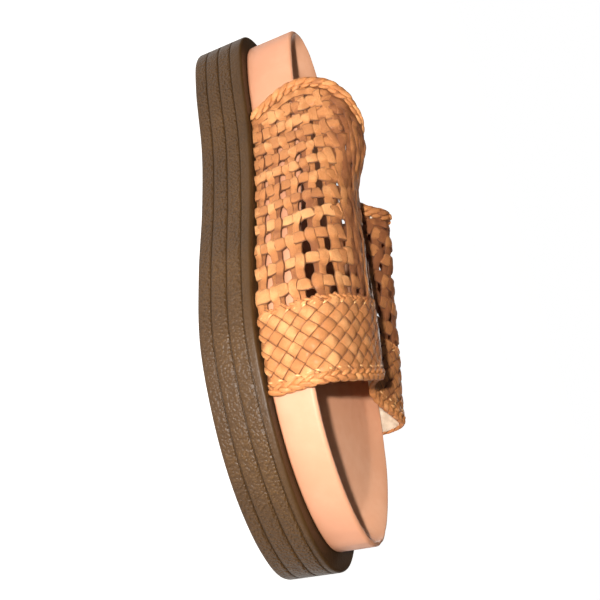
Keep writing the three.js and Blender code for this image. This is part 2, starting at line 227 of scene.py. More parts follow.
def add_values(obj: bpy.types.Object, name: str, values: Array) -> None:
    """Stores one number or one vector for each point of a mesh.

    Args:
        obj: The object.
        name: Name of the attribute.
        values: The values, one row for each point.
    """
    kind = "FLOAT_VECTOR" if np.ndim(values) == 2 else "FLOAT"
    attribute = obj.data.attributes.new(name, kind, "POINT")
    field_name = "vector" if kind == "FLOAT_VECTOR" else "value"
    attribute.data.foreach_set(field_name, np.ravel(values).astype(np.float32))


def finish_piece(obj: bpy.types.Object, part: Part) -> None:
    """Ties a piece to the body and hides the solid that it stands for.

    Args:
        obj: The piece.
        part: The solid that it replaces.
    """
    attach(obj, "root")
    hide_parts(part.value)
    LOG.info("%s: %d faces", obj.name, len(obj.data.polygons))


@dataclass(frozen=True)
class SoleShape:
    """Outline and heights that the outsole, the footbed and the upper share."""

    length: float = 266
    outsole_heel: float = 26.2
    outsole_toe: float = 24
    footbed_heel: float = 24.7
    footbed_toe: float = 17.2
    footbed_settles: float = 0.8
    toe_spring: float = 0.8
    toe_spring_start: float = 100
    ledge: float = 5.6
    ledge_toe_extra: float = 2.4
    ledge_heel_extra: float = 1
    ledge_end_start: float = 88
    toe_tip_y: float = 3
    gap: float = 0.3
    steps: int = 480
    widths: tuple[tuple[float, float, float], ...] = (
        (-129, 14, 13.5),
        (-118, 24, 23.2),
        (-98, 28.7, 31.2),
        (-62, 30.8, 31.5),
        (-27, 38.4, 33.5),
        (7, 48.8, 40.5),
        (40, 55, 47.5),
        (68, 51.5, 51),
        (90, 44.2, 48),
        (109, 33.2, 38.8),
        (122.5, 21.5, 27.5),
        (130.7, 9.5, 15.5),
    )

    def outline(self, count: int) -> tuple[Array, Array]:
        """Outline of the outsole.

        Args:
            count: How many points.

        Returns:
            The points and their outward directions, from the heel round by the little-toe side.
        """
        outer = [(x, -w) for x, w, _ in self.widths]
        inner = [(x, w) for x, _, w in reversed(self.widths)]
        heel, toe = (-self.length / 2, 0), (self.length / 2, self.toe_tip_y)
        points = closed_curve(np.array([heel, *outer, toe, *inner], float), count)
        run = np.roll(points, -1, 0) - np.roll(points, 1, 0)
        run /= np.linalg.norm(run, axis=1)[:, None]
        return points, np.stack([run[:, 1], -run[:, 0]], 1)

    def along(self, x: Array) -> Array:
        """Share of the sole's length at x, from the heel."""
        return x / self.length + 0.5

    def spring(self, x: Array) -> Array:
        """Height of the tread above the ground at x."""
        t = np.maximum(x - self.toe_spring_start, 0) / (self.length / 2 - self.toe_spring_start)
        return self.toe_spring * t * t

    def outsole_height(self, x: Array) -> Array:
        """Thickness of the outsole at x."""
        return self.outsole_heel + (self.outsole_toe - self.outsole_heel) * self.along(x)

    def outsole_top(self, x: Array) -> Array:
        """Height of the outsole's top at x."""
        return self.outsole_height(x) + self.spring(x)

    def rim(self, x: Array) -> Array:
        """Height of the footbed's rim at x."""
        settled = np.minimum(self.along(x) / self.footbed_settles, 1)
        return self.outsole_top(x) + self.footbed_heel + (self.footbed_toe - self.footbed_heel) * settled

    def ledge_at(self, x: Array) -> Array:
        """How far the footbed stands in from the sole's edge at x."""
        room = self.length / 2 - self.ledge_end_start
        toe = (np.maximum(x - self.ledge_end_start, 0) / room) ** 2
        heel = (np.maximum(-x - self.ledge_end_start, 0) / room) ** 2
        return self.ledge + self.ledge_toe_extra * toe + self.ledge_heel_extra * heel

    def footbed_wall(self, side: Side) -> tuple[Array, Array]:
        """Where the footbed's side wall stands on one side.

        Args:
            side: The side of the foot.

        Returns:
            x and y along the wall, with x rising.
        """
        points, out = self.outline(self.steps)
        wall = points - out * self.ledge_at(points[:, 0])[:, None]
        half = self.steps // 2
        run = wall[: half + 1] if side is Side.LITTLE_TOE else np.vstack([wall[:1], wall[half:][::-1]])
        order = np.argsort(run[:, 0])
        return run[order, 0], run[order, 1]


@dataclass(frozen=True)
class Crease:
    """A soft trough or ridge across the upper, from one place to another."""

    start_x: float
    start_around: float
    end_x: float
    end_around: float
    reach: float
    depth: float


@dataclass
class UpperShape:
    """The upper's inner face, by x and by the share of the way around from the little-toe side."""

    sole: SoleShape
    shoulder: float = 1.0
    wall_gap: float = 0.42
    slope_step: float = 0.005
    section_steps: int = 40
    around_length: float = 150
    x_low: float = -96
    x_high: float = 88
    x_count: int = 369
    around_count: int = 601
    sections: Table = field(default_factory=lambda: Table("x", [
        {"x": -72, "near_y": -13, "near_z": 71.5, "dip_y": 3, "dip_z": 60, "far_y": 19, "far_z": 67},
        {"x": -47, "near_y": -13, "near_z": 71, "dip_y": 4, "dip_z": 58, "far_y": 20, "far_z": 68.5},
        {"x": -27, "near_y": -14, "near_z": 64.5, "dip_y": 5, "dip_z": 55, "far_y": 21, "far_z": 69},
        {"x": 8, "near_y": -18, "near_z": 64, "dip_y": 7, "dip_z": 52, "far_y": 27, "far_z": 63},
        {"x": 38, "near_y": -17, "near_z": 62, "dip_y": 10, "dip_z": 49.5, "far_y": 34, "far_z": 57.5},
        {"x": 74, "near_y": -12, "near_z": 57, "dip_y": 14, "dip_z": 47.5, "far_y": 40, "far_z": 51.3},
    ]))
    edges: Table = field(default_factory=lambda: Table("around", [
        {"around": 0, "heelward": -75, "toeward": 66},
        {"around": 0.16, "heelward": -83.5, "toeward": 65},
        {"around": 0.3, "heelward": -79, "toeward": 63},
        {"around": 0.37, "heelward": -67, "toeward": 61.5},
        {"around": 0.53, "heelward": -35, "toeward": 58.5},
        {"around": 0.67, "heelward": -27, "toeward": 66},
        {"around": 0.83, "heelward": -30, "toeward": 72.5},
        {"around": 1, "heelward": -40, "toeward": 74},
    ]))
    creases: tuple[Crease, ...] = (
        Crease(-62, 0.43, 8, 0.41, 2.2, -1.1),
        Crease(-34, 0.47, 52, 0.455, 2.2, 1.0),
        Crease(-26, 0.425, 56, 0.415, 2.0, -1.2),
        Crease(-14, 0.39, 58, 0.375, 2.0, -0.9),
        Crease(-58, 0.385, -8, 0.40, 1.8, 0.9),
        Crease(-66, 0.41, -46, 0.45, 2.0, -1.0),
        Crease(-24, 0.36, 30, 0.38, 3.0, -0.6),
        Crease(-74, 0.34, -52, 0.30, 3.0, 0.9),
        Crease(-70, 0.22, -40, 0.24, 4.0, -0.8),
        Crease(-18, 0.58, 40, 0.60, 3.0, -0.8),
        Crease(0, 0.64, 60, 0.66, 3.5, 0.7),
        Crease(20, 0.30, 60, 0.28, 4.0, -0.6),
    )

    def __post_init__(self) -> None:
        """Works out the fine grid of points and directions that sample() reads."""
        self.grid_x = np.linspace(self.x_low, self.x_high, self.x_count)
        self.grid_around = np.linspace(0, 1, self.around_count)
        walls = {side: self.sole.footbed_wall(side) for side in Side}
        rows = [self._section(x, walls) for x in self.grid_x]
        points = np.array(rows)
        out = self._outward(points)
        points = points + out * self._crease_heights()[..., None]
        self.points, self.out = points, self._outward(points)
        self.along_x = np.gradient(self.points, self.grid_x, axis=0)
        self.along_around = np.gradient(self.points, self.grid_around, axis=1)

    def _outward(self, points: Array) -> Array:
        """Outward directions of a grid of points."""
        along_x = np.gradient(points, self.grid_x, axis=0)
        along_around = np.gradient(points, self.grid_around, axis=1)
        out = np.cross(along_x, along_around)
        return out / np.linalg.norm(out, axis=2, keepdims=True)

    def _section(self, x: float, walls: dict[Side, tuple[Array, Array]]) -> Array:
        """Points of one section across the foot.

        Args:
            x: Place along the sole.
            walls: The footbed's side walls.

        Returns:
            One point for each share of the way around.
        """
        near_crest, dip, far_crest = (
            [float(self.sections.value(f"{name}_{axis}", x)[0]) for axis in "yz"]
            for name in ("near", "dip", "far")
        )
        base = float(self.sole.outsole_top(np.array(x))) + self.sole.gap
        shoulder = float(self.sole.rim(np.array(x))) + self.shoulder
        near_y = float(np.interp(x, *walls[Side.LITTLE_TOE])) - self.wall_gap
        far_y = float(np.interp(x, *walls[Side.BIG_TOE])) + self.wall_gap
        t = np.linspace(0, 1, self.section_steps)
        quarter, half = t * math.pi / 2, (1 - np.cos(t * math.pi)) / 2
        arch, slope = (np.cos(quarter), np.sin(quarter)), (t, half)
        near = self._mixed((near_crest[0], shoulder), (near_y, near_crest[1]), arch)
        far = self._mixed((far_crest[0], shoulder), (far_y, far_crest[1]), arch)
        down = self._mixed(near_crest, dip, slope)
        up = self._mixed(far_crest, dip, slope)[::-1]
        line = np.vstack([[near_y, base], near, down[1:], up[1:], far[::-1][1:], [far_y, base]])
        walked = distances_along(line)
        wanted = self.grid_around * walked[-1]
        y, z = np.interp(wanted, walked, line[:, 0]), np.interp(wanted, walked, line[:, 1])
        return np.stack([np.full_like(y, x), y, z], 1)

    @staticmethod
    def _mixed(start: tuple, end: tuple, shares: tuple) -> Array:
        """Points between two places, with a share of the way for y and one for z."""
        return np.stack([a + (b - a) * share for a, b, share in zip(start, end, shares)], 1)

    def _crease_heights(self) -> Array:
        """Height that the creases add at each point of the grid."""
        x, around = np.meshgrid(self.grid_x, self.grid_around * self.around_length, indexing="ij")
        total = np.zeros_like(x)
        for crease in self.creases:
            start = np.array([crease.start_x, crease.start_around * self.around_length])
            run = np.array([crease.end_x, crease.end_around * self.around_length]) - start
            share = ((x - start[0]) * run[0] + (around - start[1]) * run[1]) / (run @ run)
            kept = np.clip(share, 0, 1)
            away = np.hypot(x - start[0] - kept * run[0], around - start[1] - kept * run[1])
            total += crease.depth * np.exp(-((away / crease.reach) ** 2)) * np.sin(kept * math.pi) ** 0.5
        return total

    def sample(self, x: Array, around: Array, *grids: Array) -> list[Array]:
        """Reads grids at places of the inner face.

        Args:
            x: Places along the sole.
            around: Shares of the way around.
            grids: The grids to read.

        Returns:
            One array of vectors for each grid.
        """
        fx = np.clip((x - self.x_low) / (self.grid_x[1] - self.grid_x[0]), 0, self.x_count - 1.001)
        fa = np.clip(around * (self.around_count - 1), 0, self.around_count - 1.001)
        i, j = fx.astype(int), fa.astype(int)
        s, t = (fx - i)[..., None], (fa - j)[..., None]
        return [
            (g[i, j] * (1 - s) + g[i + 1, j] * s) * (1 - t)
            + (g[i, j + 1] * (1 - s) + g[i + 1, j + 1] * s) * t
            for g in grids
        ]

    def edge(self, column: Column, around: Array | float) -> Array:
        """x of a free edge."""
        return self.edges.value(column.value, around)

    def beside(self, column: Column, shift: float, inset: float, around: Array) -> tuple[Array, Array]:
        """Places of a line that runs beside a free edge.

        Args:
            column: Which edge.
            shift: Distance that the edge is moved along the sole first.
            inset: Distance in from there, square to the edge.
            around: Shares of the way around.

        Returns:
            x and share around.
        """
        x = self.edge(column, around) + column.inward * shift
        step_x, step_around = self.across(x, around)
        back = column.inward * inset
        return x - step_x * back, np.clip(around - step_around * back, 0, 1)

    def collar_inset(self, x: Array, around: Array) -> Array:
        """Distance in from the collar edge, about square to it."""
        ahead, behind = (self.edge(Column.COLLAR, around + way * self.slope_step) for way in (1, -1))
        rise = (ahead - behind) / (2 * self.slope_step * self.around_length)
        return (x - self.edge(Column.COLLAR, around)) / np.hypot(1, rise)

    def across(self, x: Array, around: Array) -> tuple[Array, Array]:
        """Steps in x and around that lead one millimetre square to a path, to its left seen from outside.

        Args:
            x: The path's places along the sole.
            around: The path's shares of the way around.

        Returns:
            The step in x and the step in share around, for each point of the path.
        """
        e1, e2, out = self.sample(x, around, self.along_x, self.along_around, self.out)
        run = e1 * np.gradient(x)[:, None] + e2 * np.gradient(around)[:, None]
        run /= np.linalg.norm(run, axis=1, keepdims=True)
        wanted = np.cross(out, run)
        a, b, c = (e1 * e1).sum(1), (e1 * e2).sum(1), (e2 * e2).sum(1)
        p, q = (wanted * e1).sum(1), (wanted * e2).sum(1)
        det = a * c - b * b
        return (p * c - q * b) / det, (a * q - b * p) / det


class StrandMesh:
    """Collects flat thongs that follow the upper's face, and makes them one mesh."""

    side_power = 0.38
    face_power = 0.45
    swell = 0.06

    def __init__(self, shape: UpperShape, base: float, thickness: float, ring: int = 12) -> None:
        """Sets the layer that the thongs lie in.

        Args:
            shape: The upper's face.
            base: Height of the thongs' middle above the inner face.
            thickness: Thickness of a thong.
            ring: Points around a thong's section.
        """
        self.shape, self.base, self.thickness, self.ring = shape, base, thickness, ring
        self.points: list[Array] = []
        self.faces: list[Array] = []
        self.values: dict[str, list[Array]] = {"out": [], "phase": [], "tone": [], "edge": [], "run": []}
        self.count = 0

    def add(
        self, x: Array, around: Array, half_width: Array, phase: Array, tone: Array, tilt: Array | None = None
    ) -> None:
        """Adds one thong along a path.

        Args:
            x: The path's places along the sole.
            around: The path's shares of the way around.
            half_width: Half of the thong's width along the path.
            phase: 1 where it passes over, -1 where it passes under.
            tone: Its own shade along the path, about 0 to 1.
            tilt: How far its left side stands above its middle along the path, if it does.
        """
        n, m = len(x), self.ring
        step_x, step_around = self.shape.across(x, around)
        angle = np.linspace(0, 2 * math.pi, m, endpoint=False)
        u = np.sign(np.cos(angle)) * np.abs(np.cos(angle)) ** self.side_power
        h = np.sign(np.sin(angle)) * np.abs(np.sin(angle)) ** self.face_power * self.thickness / 2
        h = h + self.swell * (1 - u * u)
        px = x[:, None] + step_x[:, None] * u * half_width[:, None]
        pa = around[:, None] + step_around[:, None] * u * half_width[:, None]
        place, out = self.shape.sample(px, pa, self.shape.points, self.shape.out)
        lift = (self.base + h)[None, :] + (0 if tilt is None else tilt[:, None] * u[None])
        place = place + out * lift[..., None]
        walked = distances_along(place[:, 0])
        ids = self.count + np.arange(n * m).reshape(n, m)
        self.faces.append(ring_faces(ids))
        self.points.append(place.reshape(-1, 3))
        phases, tones, runs = (np.repeat(values, m) for values in (phase, tone, walked))
        self._store(out.reshape(-1, 3), phases, tones, np.tile(np.abs(u), n), runs)
        self.count += n * m
        for end in (0, -1):
            middle = place[end].mean(0)
            self.points.append(middle[None])
            self._store(out[end].mean(0)[None], phase[[end]], tone[[end]], np.ones(1), walked[[end]])
            centre = np.full(m, self.count)
            ring = ids[end]
            turned = (centre, np.roll(ring, -1), ring) if end == 0 else (centre, ring, np.roll(ring, -1))
            self.faces.append(np.stack(turned, 1))
            self.count += 1

    def _store(self, *values: Array) -> None:
        """Keeps the values of some points, in the order of the attributes' names."""
        for kept, value in zip(self.values.values(), values):
            kept.append(value)

    def make(self, name: str) -> bpy.types.Object:
        """Makes the mesh object with its values.

        Args:
            name: Name of the piece.

        Returns:
            The object.
        """
        faces = [face for block in self.faces for face in block]
        obj = make_object(name, np.vstack(self.points), faces)
        for key, blocks in self.values.items():
            add_values(obj, key, np.vstack(blocks) if key == "out" else np.concatenate(blocks))
        return obj


class TreeMaker:
    """Builds one node tree from short calls."""

    def __init__(self, tree: bpy.types.NodeTree) -> None:
        """Keeps the tree.

        Args:
            tree: The tree to fill.
        """
        self.tree = tree

    def add(self, kind: str, settings: dict[str, object] | None = None, **inputs: object) -> bpy.types.Node:
        """Adds a node, sets it up and feeds its inputs.

        Args:
            kind: Blender's name of the node type.
            settings: Properties of the node.
            inputs: Sockets to link or values to set, by name or as i0, i1 and so on by place.

        Returns:
            The node.
        """
        made = self.tree.nodes.new(kind)
        for name, value in (settings or {}).items():
            setattr(made, name, value)
        for name, value in inputs.items():
            numbered = name[0] == "i" and name[1:].isdigit()
            self.feed(made.inputs[int(name[1:]) if numbered else name.replace("_", " ")], value)
        return made

    def feed(self, socket: Socket, value: object) -> None:
        """Links a socket to another one's result, or sets its value."""
        if isinstance(value, bpy.types.NodeSocket):
            self.tree.links.new(value, socket)
        else:
            socket.default_value = value

    def math(self, operation: str, *values: object) -> Socket:
        """Adds a math node and gives its result."""
        inputs = {f"i{k}": value for k, value in enumerate(values)}
        return self.add("ShaderNodeMath", {"operation": operation}, **inputs).outputs[0]

    def times(self, first: object, second: object) -> Socket:
        """Multiplies two numbers."""
        return self.math("MULTIPLY", first, second)

    def plus(self, first: object, second: object) -> Socket:
        """Adds two numbers."""
        return self.math("ADD", first, second)

    def noise(self, vector: object, scale: object, detail: float = 3.0, roughness: float = 0.6) -> Socket:
        """Adds a noise and gives its value."""
        inputs = {"Vector": vector, "Scale": scale, "Detail": detail, "Roughness": roughness}
        return self.add("ShaderNodeTexNoise", None, **inputs).outputs[0]

    def group(self, tree: bpy.types.NodeTree, **inputs: object) -> Socket:
        """Places a shader group and gives its first result."""
        return self.add("ShaderNodeGroup", {"node_tree": tree}, **inputs).outputs[0]

    def scaled(self, vector: object, factor: object) -> Socket:
        """Multiplies a vector by a number."""
        return self.add("ShaderNodeVectorMath", {"operation": "SCALE"}, i0=vector, Scale=factor).outputs[0]

    def named(self, name: str, kind: str = "FLOAT") -> Socket:
        """Reads an attribute in a geometry tree."""
        return self.add("GeometryNodeInputNamedAttribute", {"data_type": kind}, Name=name).outputs[0]

    def attribute(self, name: str) -> Socket:
        """Reads a number stored on the piece in a material."""
        return self.add("ShaderNodeAttribute", {"attribute_name": name}).outputs["Fac"]

    def mix(self, share: object, first: object, second: object) -> Socket:
        """Mixes two colours."""
        return self.add("ShaderNodeMix", {"data_type": "RGBA"}, i0=share, i6=first, i7=second).outputs[2]

    def between(
        self, value: object, low: object, high: object, to_low: float = 0, to_high: float = 1
    ) -> Socket:
        """Maps a range of values smoothly to another range."""
        smooth = {"interpolation_type": "SMOOTHSTEP"}
        made = self.add("ShaderNodeMapRange", smooth, i0=value, i1=low, i2=high, i3=to_low, i4=to_high)
        return made.outputs[0]


def colour(shade: Rgb) -> tuple[float, float, float, float]:
    """Linear colour of a screen shade given in 0 to 255.

    Args:
        shade: Red, green and blue.

    Returns:
        The linear colour with full cover.
    """
    line = [v / 255 for v in shade]
    return (*[v / 12.92 if v <= 0.04045 else ((v + 0.055) / 1.055) ** 2.4 for v in line], 1.0)


def shader_group(
    name: str, inputs: dict[str, str], outputs: dict[str, str]
) -> tuple[TreeMaker, dict[str, Socket], bpy.types.Node]:
    """An empty shader node group with named sockets.

    Args:
        name: Name of the group.
        inputs: Socket types by input name, as in Float, Vector or Color.
        outputs: Socket types by output name.

    Returns:
        Its maker, its inputs' sockets by name, and its output node.
    """
    tree = bpy.data.node_groups.new(name, "ShaderNodeTree")
    for way, sockets in (("INPUT", inputs), ("OUTPUT", outputs)):
        for title, kind in sockets.items():
            tree.interface.new_socket(title, in_out=way, socket_type=f"NodeSocket{kind}")
    maker = TreeMaker(tree)
    given = maker.add("NodeGroupInput")
    return maker, {title: given.outputs[title] for title in inputs}, maker.add("NodeGroupOutput")


class SharedEffects:
    """Shader groups that several finishes place in their materials."""

    pore_width = 0.16
    pore_weight = 0.5

    def __init__(self) -> None:
        """Builds the groups."""
        self.grain = self._grain()
        self.patches = self._patches()
        self.tone = self._tone()

    def _grain(self) -> bpy.types.NodeTree:
        """Fine pores of leather, as a height."""
        inputs = {"Vector": "Vector", "Scale": "Float", "Depth": "Float"}
        maker, given, result = shader_group("leather_grain", inputs, {"Height": "Float"})
        where, scale = given["Vector"], given["Scale"]
        cells = maker.add("ShaderNodeTexVoronoi", {"feature": "DISTANCE_TO_EDGE"}, Vector=where, Scale=scale)
        pores = maker.between(cells.outputs[0], 0.0, self.pore_width)
        both = maker.plus(maker.times(pores, self.pore_weight), maker.noise(where, scale))
        maker.feed(result.inputs["Height"], maker.times(both, given["Depth"]))
        return maker.tree

    def _patches(self) -> bpy.types.NodeTree:
        """Soft large patches, as a mask."""
        inputs = {"Vector": "Vector", "Scale": "Float", "Low": "Float", "High": "Float"}
        maker, given, result = shader_group("soft_patches", inputs, {"Mask": "Float"})
        noise = maker.noise(given["Vector"], given["Scale"], detail=4.0, roughness=0.55)
        maker.feed(result.inputs["Mask"], maker.between(noise, given["Low"], given["High"]))
        return maker.tree

    def _tone(self) -> bpy.types.NodeTree:
        """Three shades mixed by a tone, and a fourth mixed in by a second number; on the footbed and the sole
        the fourth is painted shade.
        """
        shades = {"Dark": "Color", "Middle": "Color", "Light": "Color", "Edge Colour": "Color"}
        inputs = {**shades, "Tone": "Float", "Edge": "Float"}
        maker, given, result = shader_group("dyed_shades", inputs, {"Colour": "Color"})
        low = maker.mix(maker.between(given["Tone"], 0.0, 0.5), given["Dark"], given["Middle"])
        high = maker.mix(maker.between(given["Tone"], 0.5, 1.0), low, given["Light"])
        maker.feed(result.inputs["Colour"], maker.mix(given["Edge"], high, given["Edge Colour"]))
        return maker.tree


@dataclass(frozen=True)
class Dressing:
    """What a finish needs to fill in its material."""

    maker: TreeMaker
    shader: bpy.types.Node
    where: Socket
    effects: SharedEffects

    def relief(self, height: Socket, strength: float, reach: float) -> None:
        """Feeds a height to the shader's normal.

        Args:
            height: The height.
            strength: How strong the bump is.
            reach: Height in metres that 1 stands for.
        """
        bump = self.maker.add("ShaderNodeBump", None, Strength=strength, Distance=reach, Height=height)
        self.maker.feed(self.shader.inputs["Normal"], bump.outputs[0])

    def patches(self, scale: float, low: float, high: float) -> Socket:
        """Soft patches on the piece's own coordinates."""
        inputs = {"Vector": self.where, "Scale": scale, "Low": low, "High": high}
        return self.maker.group(self.effects.patches, **inputs)

    def grain(self, scale: float, depth: float) -> Socket:
        """Height of leather grain on the piece's own coordinates."""
        return self.maker.group(self.effects.grain, Vector=self.where, Scale=scale, Depth=depth)

    def shades(self, dark: Rgb, middle: Rgb, light: Rgb, tone: Socket, edge: Socket, edge_shade: Rgb) -> None:
        """Feeds three shades and an edge shade to the base colour.

        Args:
            dark: Shade where the tone is 0.
            middle: Shade where it is 0.5.
            light: Shade where it is 1.
            tone: The tone over the surface.
            edge: How much of the edge shade shows; on the footbed and the sole it is painted shade.
            edge_shade: The edge shade.
        """
        shades = {"Dark": dark, "Middle": middle, "Light": light, "Edge_Colour": edge_shade}
        inputs = {name: colour(shade) for name, shade in shades.items()}
        mixed = self.maker.group(self.effects.tone, Tone=tone, Edge=edge, **inputs)
        self.maker.feed(self.shader.inputs["Base Color"], mixed)

    def constants(self, **values: float) -> None:
        """Sets sockets of the shader, by name with _ for a space."""
        for name, value in values.items():
            self.shader.inputs[name.replace("_", " ")].default_value = value


@dataclass(frozen=True)
class Finish:
    """A finish that becomes one procedural material."""

    name: str

    def build(self, effects: SharedEffects) -> bpy.types.Material:
        """Makes the material.

        Args:
            effects: The shared groups.

        Returns:
            The material.
        """
        material = bpy.data.materials.new(self.name)
        material.use_nodes = True
        maker = TreeMaker(material.node_tree)
        shader = next(n for n in maker.tree.nodes if n.type == "BSDF_PRINCIPLED")
        where = maker.add("ShaderNodeTexCoord").outputs["Object"]
        self.dress(Dressing(maker, shader, where, effects))
        return material

    def dress(self, dressing: Dressing) -> None:
        """Fills in the material; each finish has its own way."""


@dataclass(frozen=True)
class ThongLeather(Finish):
    """Dyed leather thongs, with their own tone, pores, streaks along them, worn edges, painted shade where
    they pass under and a painted highlight where they pass over.
    """

    dark: Rgb = (138, 80, 41)
    middle: Rgb = (189, 122, 68)
    light: Rgb = (224, 161, 103)
    edge: Rgb = (86, 45, 21)
    roughness_low: float = 0.44
    roughness_high: float = 0.7
    edge_start: float = 0.75
    edge_wear: float = 0.8
    patches: tuple[float, float, float] = (120.0, 0.35, 0.7)
    streak_scale: tuple[float, float, float] = (45.0, 900.0, 57.0)
    tone_weight: float = 0.55
    patch_weight: float = 0.32
    streak_weight: float = 0.9
    # Painted shade where a thong passes under and painted highlight where it passes over.
    painted_over_under_shade: float = 0.26
    streak_height: float = 0.8
    coat: float = 0.08
    coat_roughness: float = 0.28
    pore_scale: float = 1500.0
    pore_depth: float = 0.55
    relief_reach: float = 0.0004

    def dress(self, dressing: Dressing) -> None:
        """Fills in the material.

        Args:
            dressing: The material's tree, shader and shared groups.
        """
        maker, shader = dressing.maker, dressing.shader
        patches = dressing.patches(*self.patches)
        along, across, each = self.streak_scale
        run = maker.add(
            "ShaderNodeCombineXYZ", None,
            X=maker.times(maker.attribute("run"), along),
            Y=maker.times(maker.attribute("side"), across),
            Z=maker.times(maker.attribute("tone"), each),
        )
        streak = maker.noise(run.outputs[0], 1.0)
        own = maker.times(maker.attribute("tone"), self.tone_weight)
        tone = maker.plus(own, maker.times(patches, self.patch_weight))
        tone = maker.plus(tone, maker.times(maker.math("SUBTRACT", streak, 0.5), self.streak_weight))
        # Painted shade and highlight: the tone follows the phase, darker under and lighter over.
        tone = maker.plus(tone, maker.times(maker.attribute("phase"), self.painted_over_under_shade))
        worn = maker.between(maker.attribute("edge"), self.edge_start, 1.0, 0.0, self.edge_wear)
        dressing.shades(self.dark, self.middle, self.light, tone, worn, self.edge)
        smoother = maker.times(patches, self.roughness_low - self.roughness_high)
        maker.feed(shader.inputs["Roughness"], maker.plus(smoother, self.roughness_high))
        dressing.constants(Coat_Weight=self.coat, Coat_Roughness=self.coat_roughness)
        grain = dressing.grain(self.pore_scale, self.pore_depth)
        dressing.relief(maker.plus(grain, maker.times(streak, self.streak_height)), 1.0, self.relief_reach)


@dataclass(frozen=True)
class SmoothLeather(Finish):
    """Pale smooth leather of the footbed, with fine pores, soft patches and painted shade on its side wall.
    """

    light: Rgb = (230, 175, 141)
    middle: Rgb = (222, 162, 127)
    dark: Rgb = (201, 133, 100)
    # Painted shade colour that the side wall is mixed toward.
    wall: Rgb = (160, 104, 76)
    wall_shade_share: float = 0.56
    roughness: float = 0.55
    sheen_patches: float = 0.1
    broad: tuple[float, float, float] = (22.0, 0.3, 0.72)
    small: tuple[float, float, float] = (160.0, 0.3, 0.8)
    base_tone: float = 0.3
    broad_weight: float = 0.45
    small_weight: float = 0.2
    pore_scale: float = 1900.0
    pore_depth: float = 0.35
    relief_strength: float = 0.35
    relief_reach: float = 0.0002

    def dress(self, dressing: Dressing) -> None:
        """Fills in the material.

        Args:
            dressing: The material's tree, shader and shared groups.
        """
        maker = dressing.maker
        broad, small = dressing.patches(*self.broad), dressing.patches(*self.small)
        tone = maker.plus(maker.times(broad, self.broad_weight), maker.times(small, self.small_weight))
        tone = maker.plus(tone, self.base_tone)
        # Painted shade on the side wall, strongest at its foot, fading over the rim.
        worn = maker.times(maker.attribute("worn"), self.wall_shade_share)
        dressing.shades(self.dark, self.middle, self.light, tone, worn, self.wall)
        rough = maker.plus(maker.times(small, -self.sheen_patches), self.roughness)
        maker.feed(dressing.shader.inputs["Roughness"], rough)
        grain = dressing.grain(self.pore_scale, self.pore_depth)
        dressing.relief(grain, self.relief_strength, self.relief_reach)


@dataclass(frozen=True)
class PebbledRubber(Finish):
    """Brown rubber with a pebbled face that turns smooth on the rim band and in the grooves, with painted
    shade in the grooves.
    """

    dark: Rgb = (42, 27, 10)
    middle: Rgb = (65, 43, 17)
    light: Rgb = (86, 60, 27)
    roughness: float = 0.36
    rougher_spots: float = 0.25
    gloss: float = 0.3
    broad: tuple[float, float, float] = (30.0, 0.3, 0.75)
    pebble_edges: tuple[float, float] = (0.1, 0.75)
    pebble_scale: float = 900.0
    fine_scale: float = 1400.0
    fine_height: float = 0.18
    broad_weight: float = 0.35
    fine_weight: float = 0.4
    pebble_weight: float = 0.3
    # How far the painted shade in the grooves pulls toward the dark shade.
    painted_groove_shade: float = 0.6
    relief_strength: float = 0.7
    relief_reach: float = 0.00045

    def dress(self, dressing: Dressing) -> None:
        """Fills in the material.

        Args:
            dressing: The material's tree, shader and shared groups.
        """
        maker, where = dressing.maker, dressing.where
        smooth = {"feature": "SMOOTH_F1"}
        cells = maker.add("ShaderNodeTexVoronoi", smooth, Vector=where, Scale=self.pebble_scale)
        round_tops = maker.between(cells.outputs[0], *self.pebble_edges, 1.0, 0.0)
        bumps = maker.times(round_tops, maker.attribute("pebbled"))
        fine = maker.noise(where, self.fine_scale)
        broad = dressing.patches(*self.broad)
        tone = maker.plus(maker.times(broad, self.broad_weight), maker.times(fine, self.fine_weight))
        tone = maker.plus(tone, maker.times(bumps, self.pebble_weight))
        # Painted shade from the groove value: darkest in the grooves, lighter at the tread's edge and under
        # the footbed's ledge.
        groove = maker.times(maker.attribute("groove"), self.painted_groove_shade)
        dressing.shades(self.dark, self.middle, self.light, tone, groove, self.dark)
        rough = maker.plus(maker.times(fine, self.rougher_spots), self.roughness)
        maker.feed(dressing.shader.inputs["Roughness"], rough)
        dressing.constants(Specular_IOR_Level=self.gloss)
        height = maker.plus(bumps, maker.times(fine, self.fine_height))
        dressing.relief(height, self.relief_strength, self.relief_reach)


@dataclass(frozen=True)
class PlainCloth(Finish):
    """Sewing thread, lining, floor or wall: two shades in soft patches with a fine nap."""

    light: Rgb
    dark: Rgb
    scale: float
    roughness: float
    nap: float
    patch_edges: tuple[float, float] = (0.3, 0.7)
    nap_finer: float = 5
    nap_reach: float = 0.0002

    def dress(self, dressing: Dressing) -> None:
        """Fills in the material.

        Args:
            dressing: The material's tree, shader and shared groups.
        """
        maker = dressing.maker
        patches = dressing.patches(self.scale, *self.patch_edges)
        shade = maker.mix(patches, colour(self.dark), colour(self.light))
        maker.feed(dressing.shader.inputs["Base Color"], shade)
        dressing.constants(Roughness=self.roughness)
        nap = maker.noise(dressing.where, self.scale * self.nap_finer, detail=4.0, roughness=0.7)
        dressing.relief(nap, self.nap, self.nap_reach)


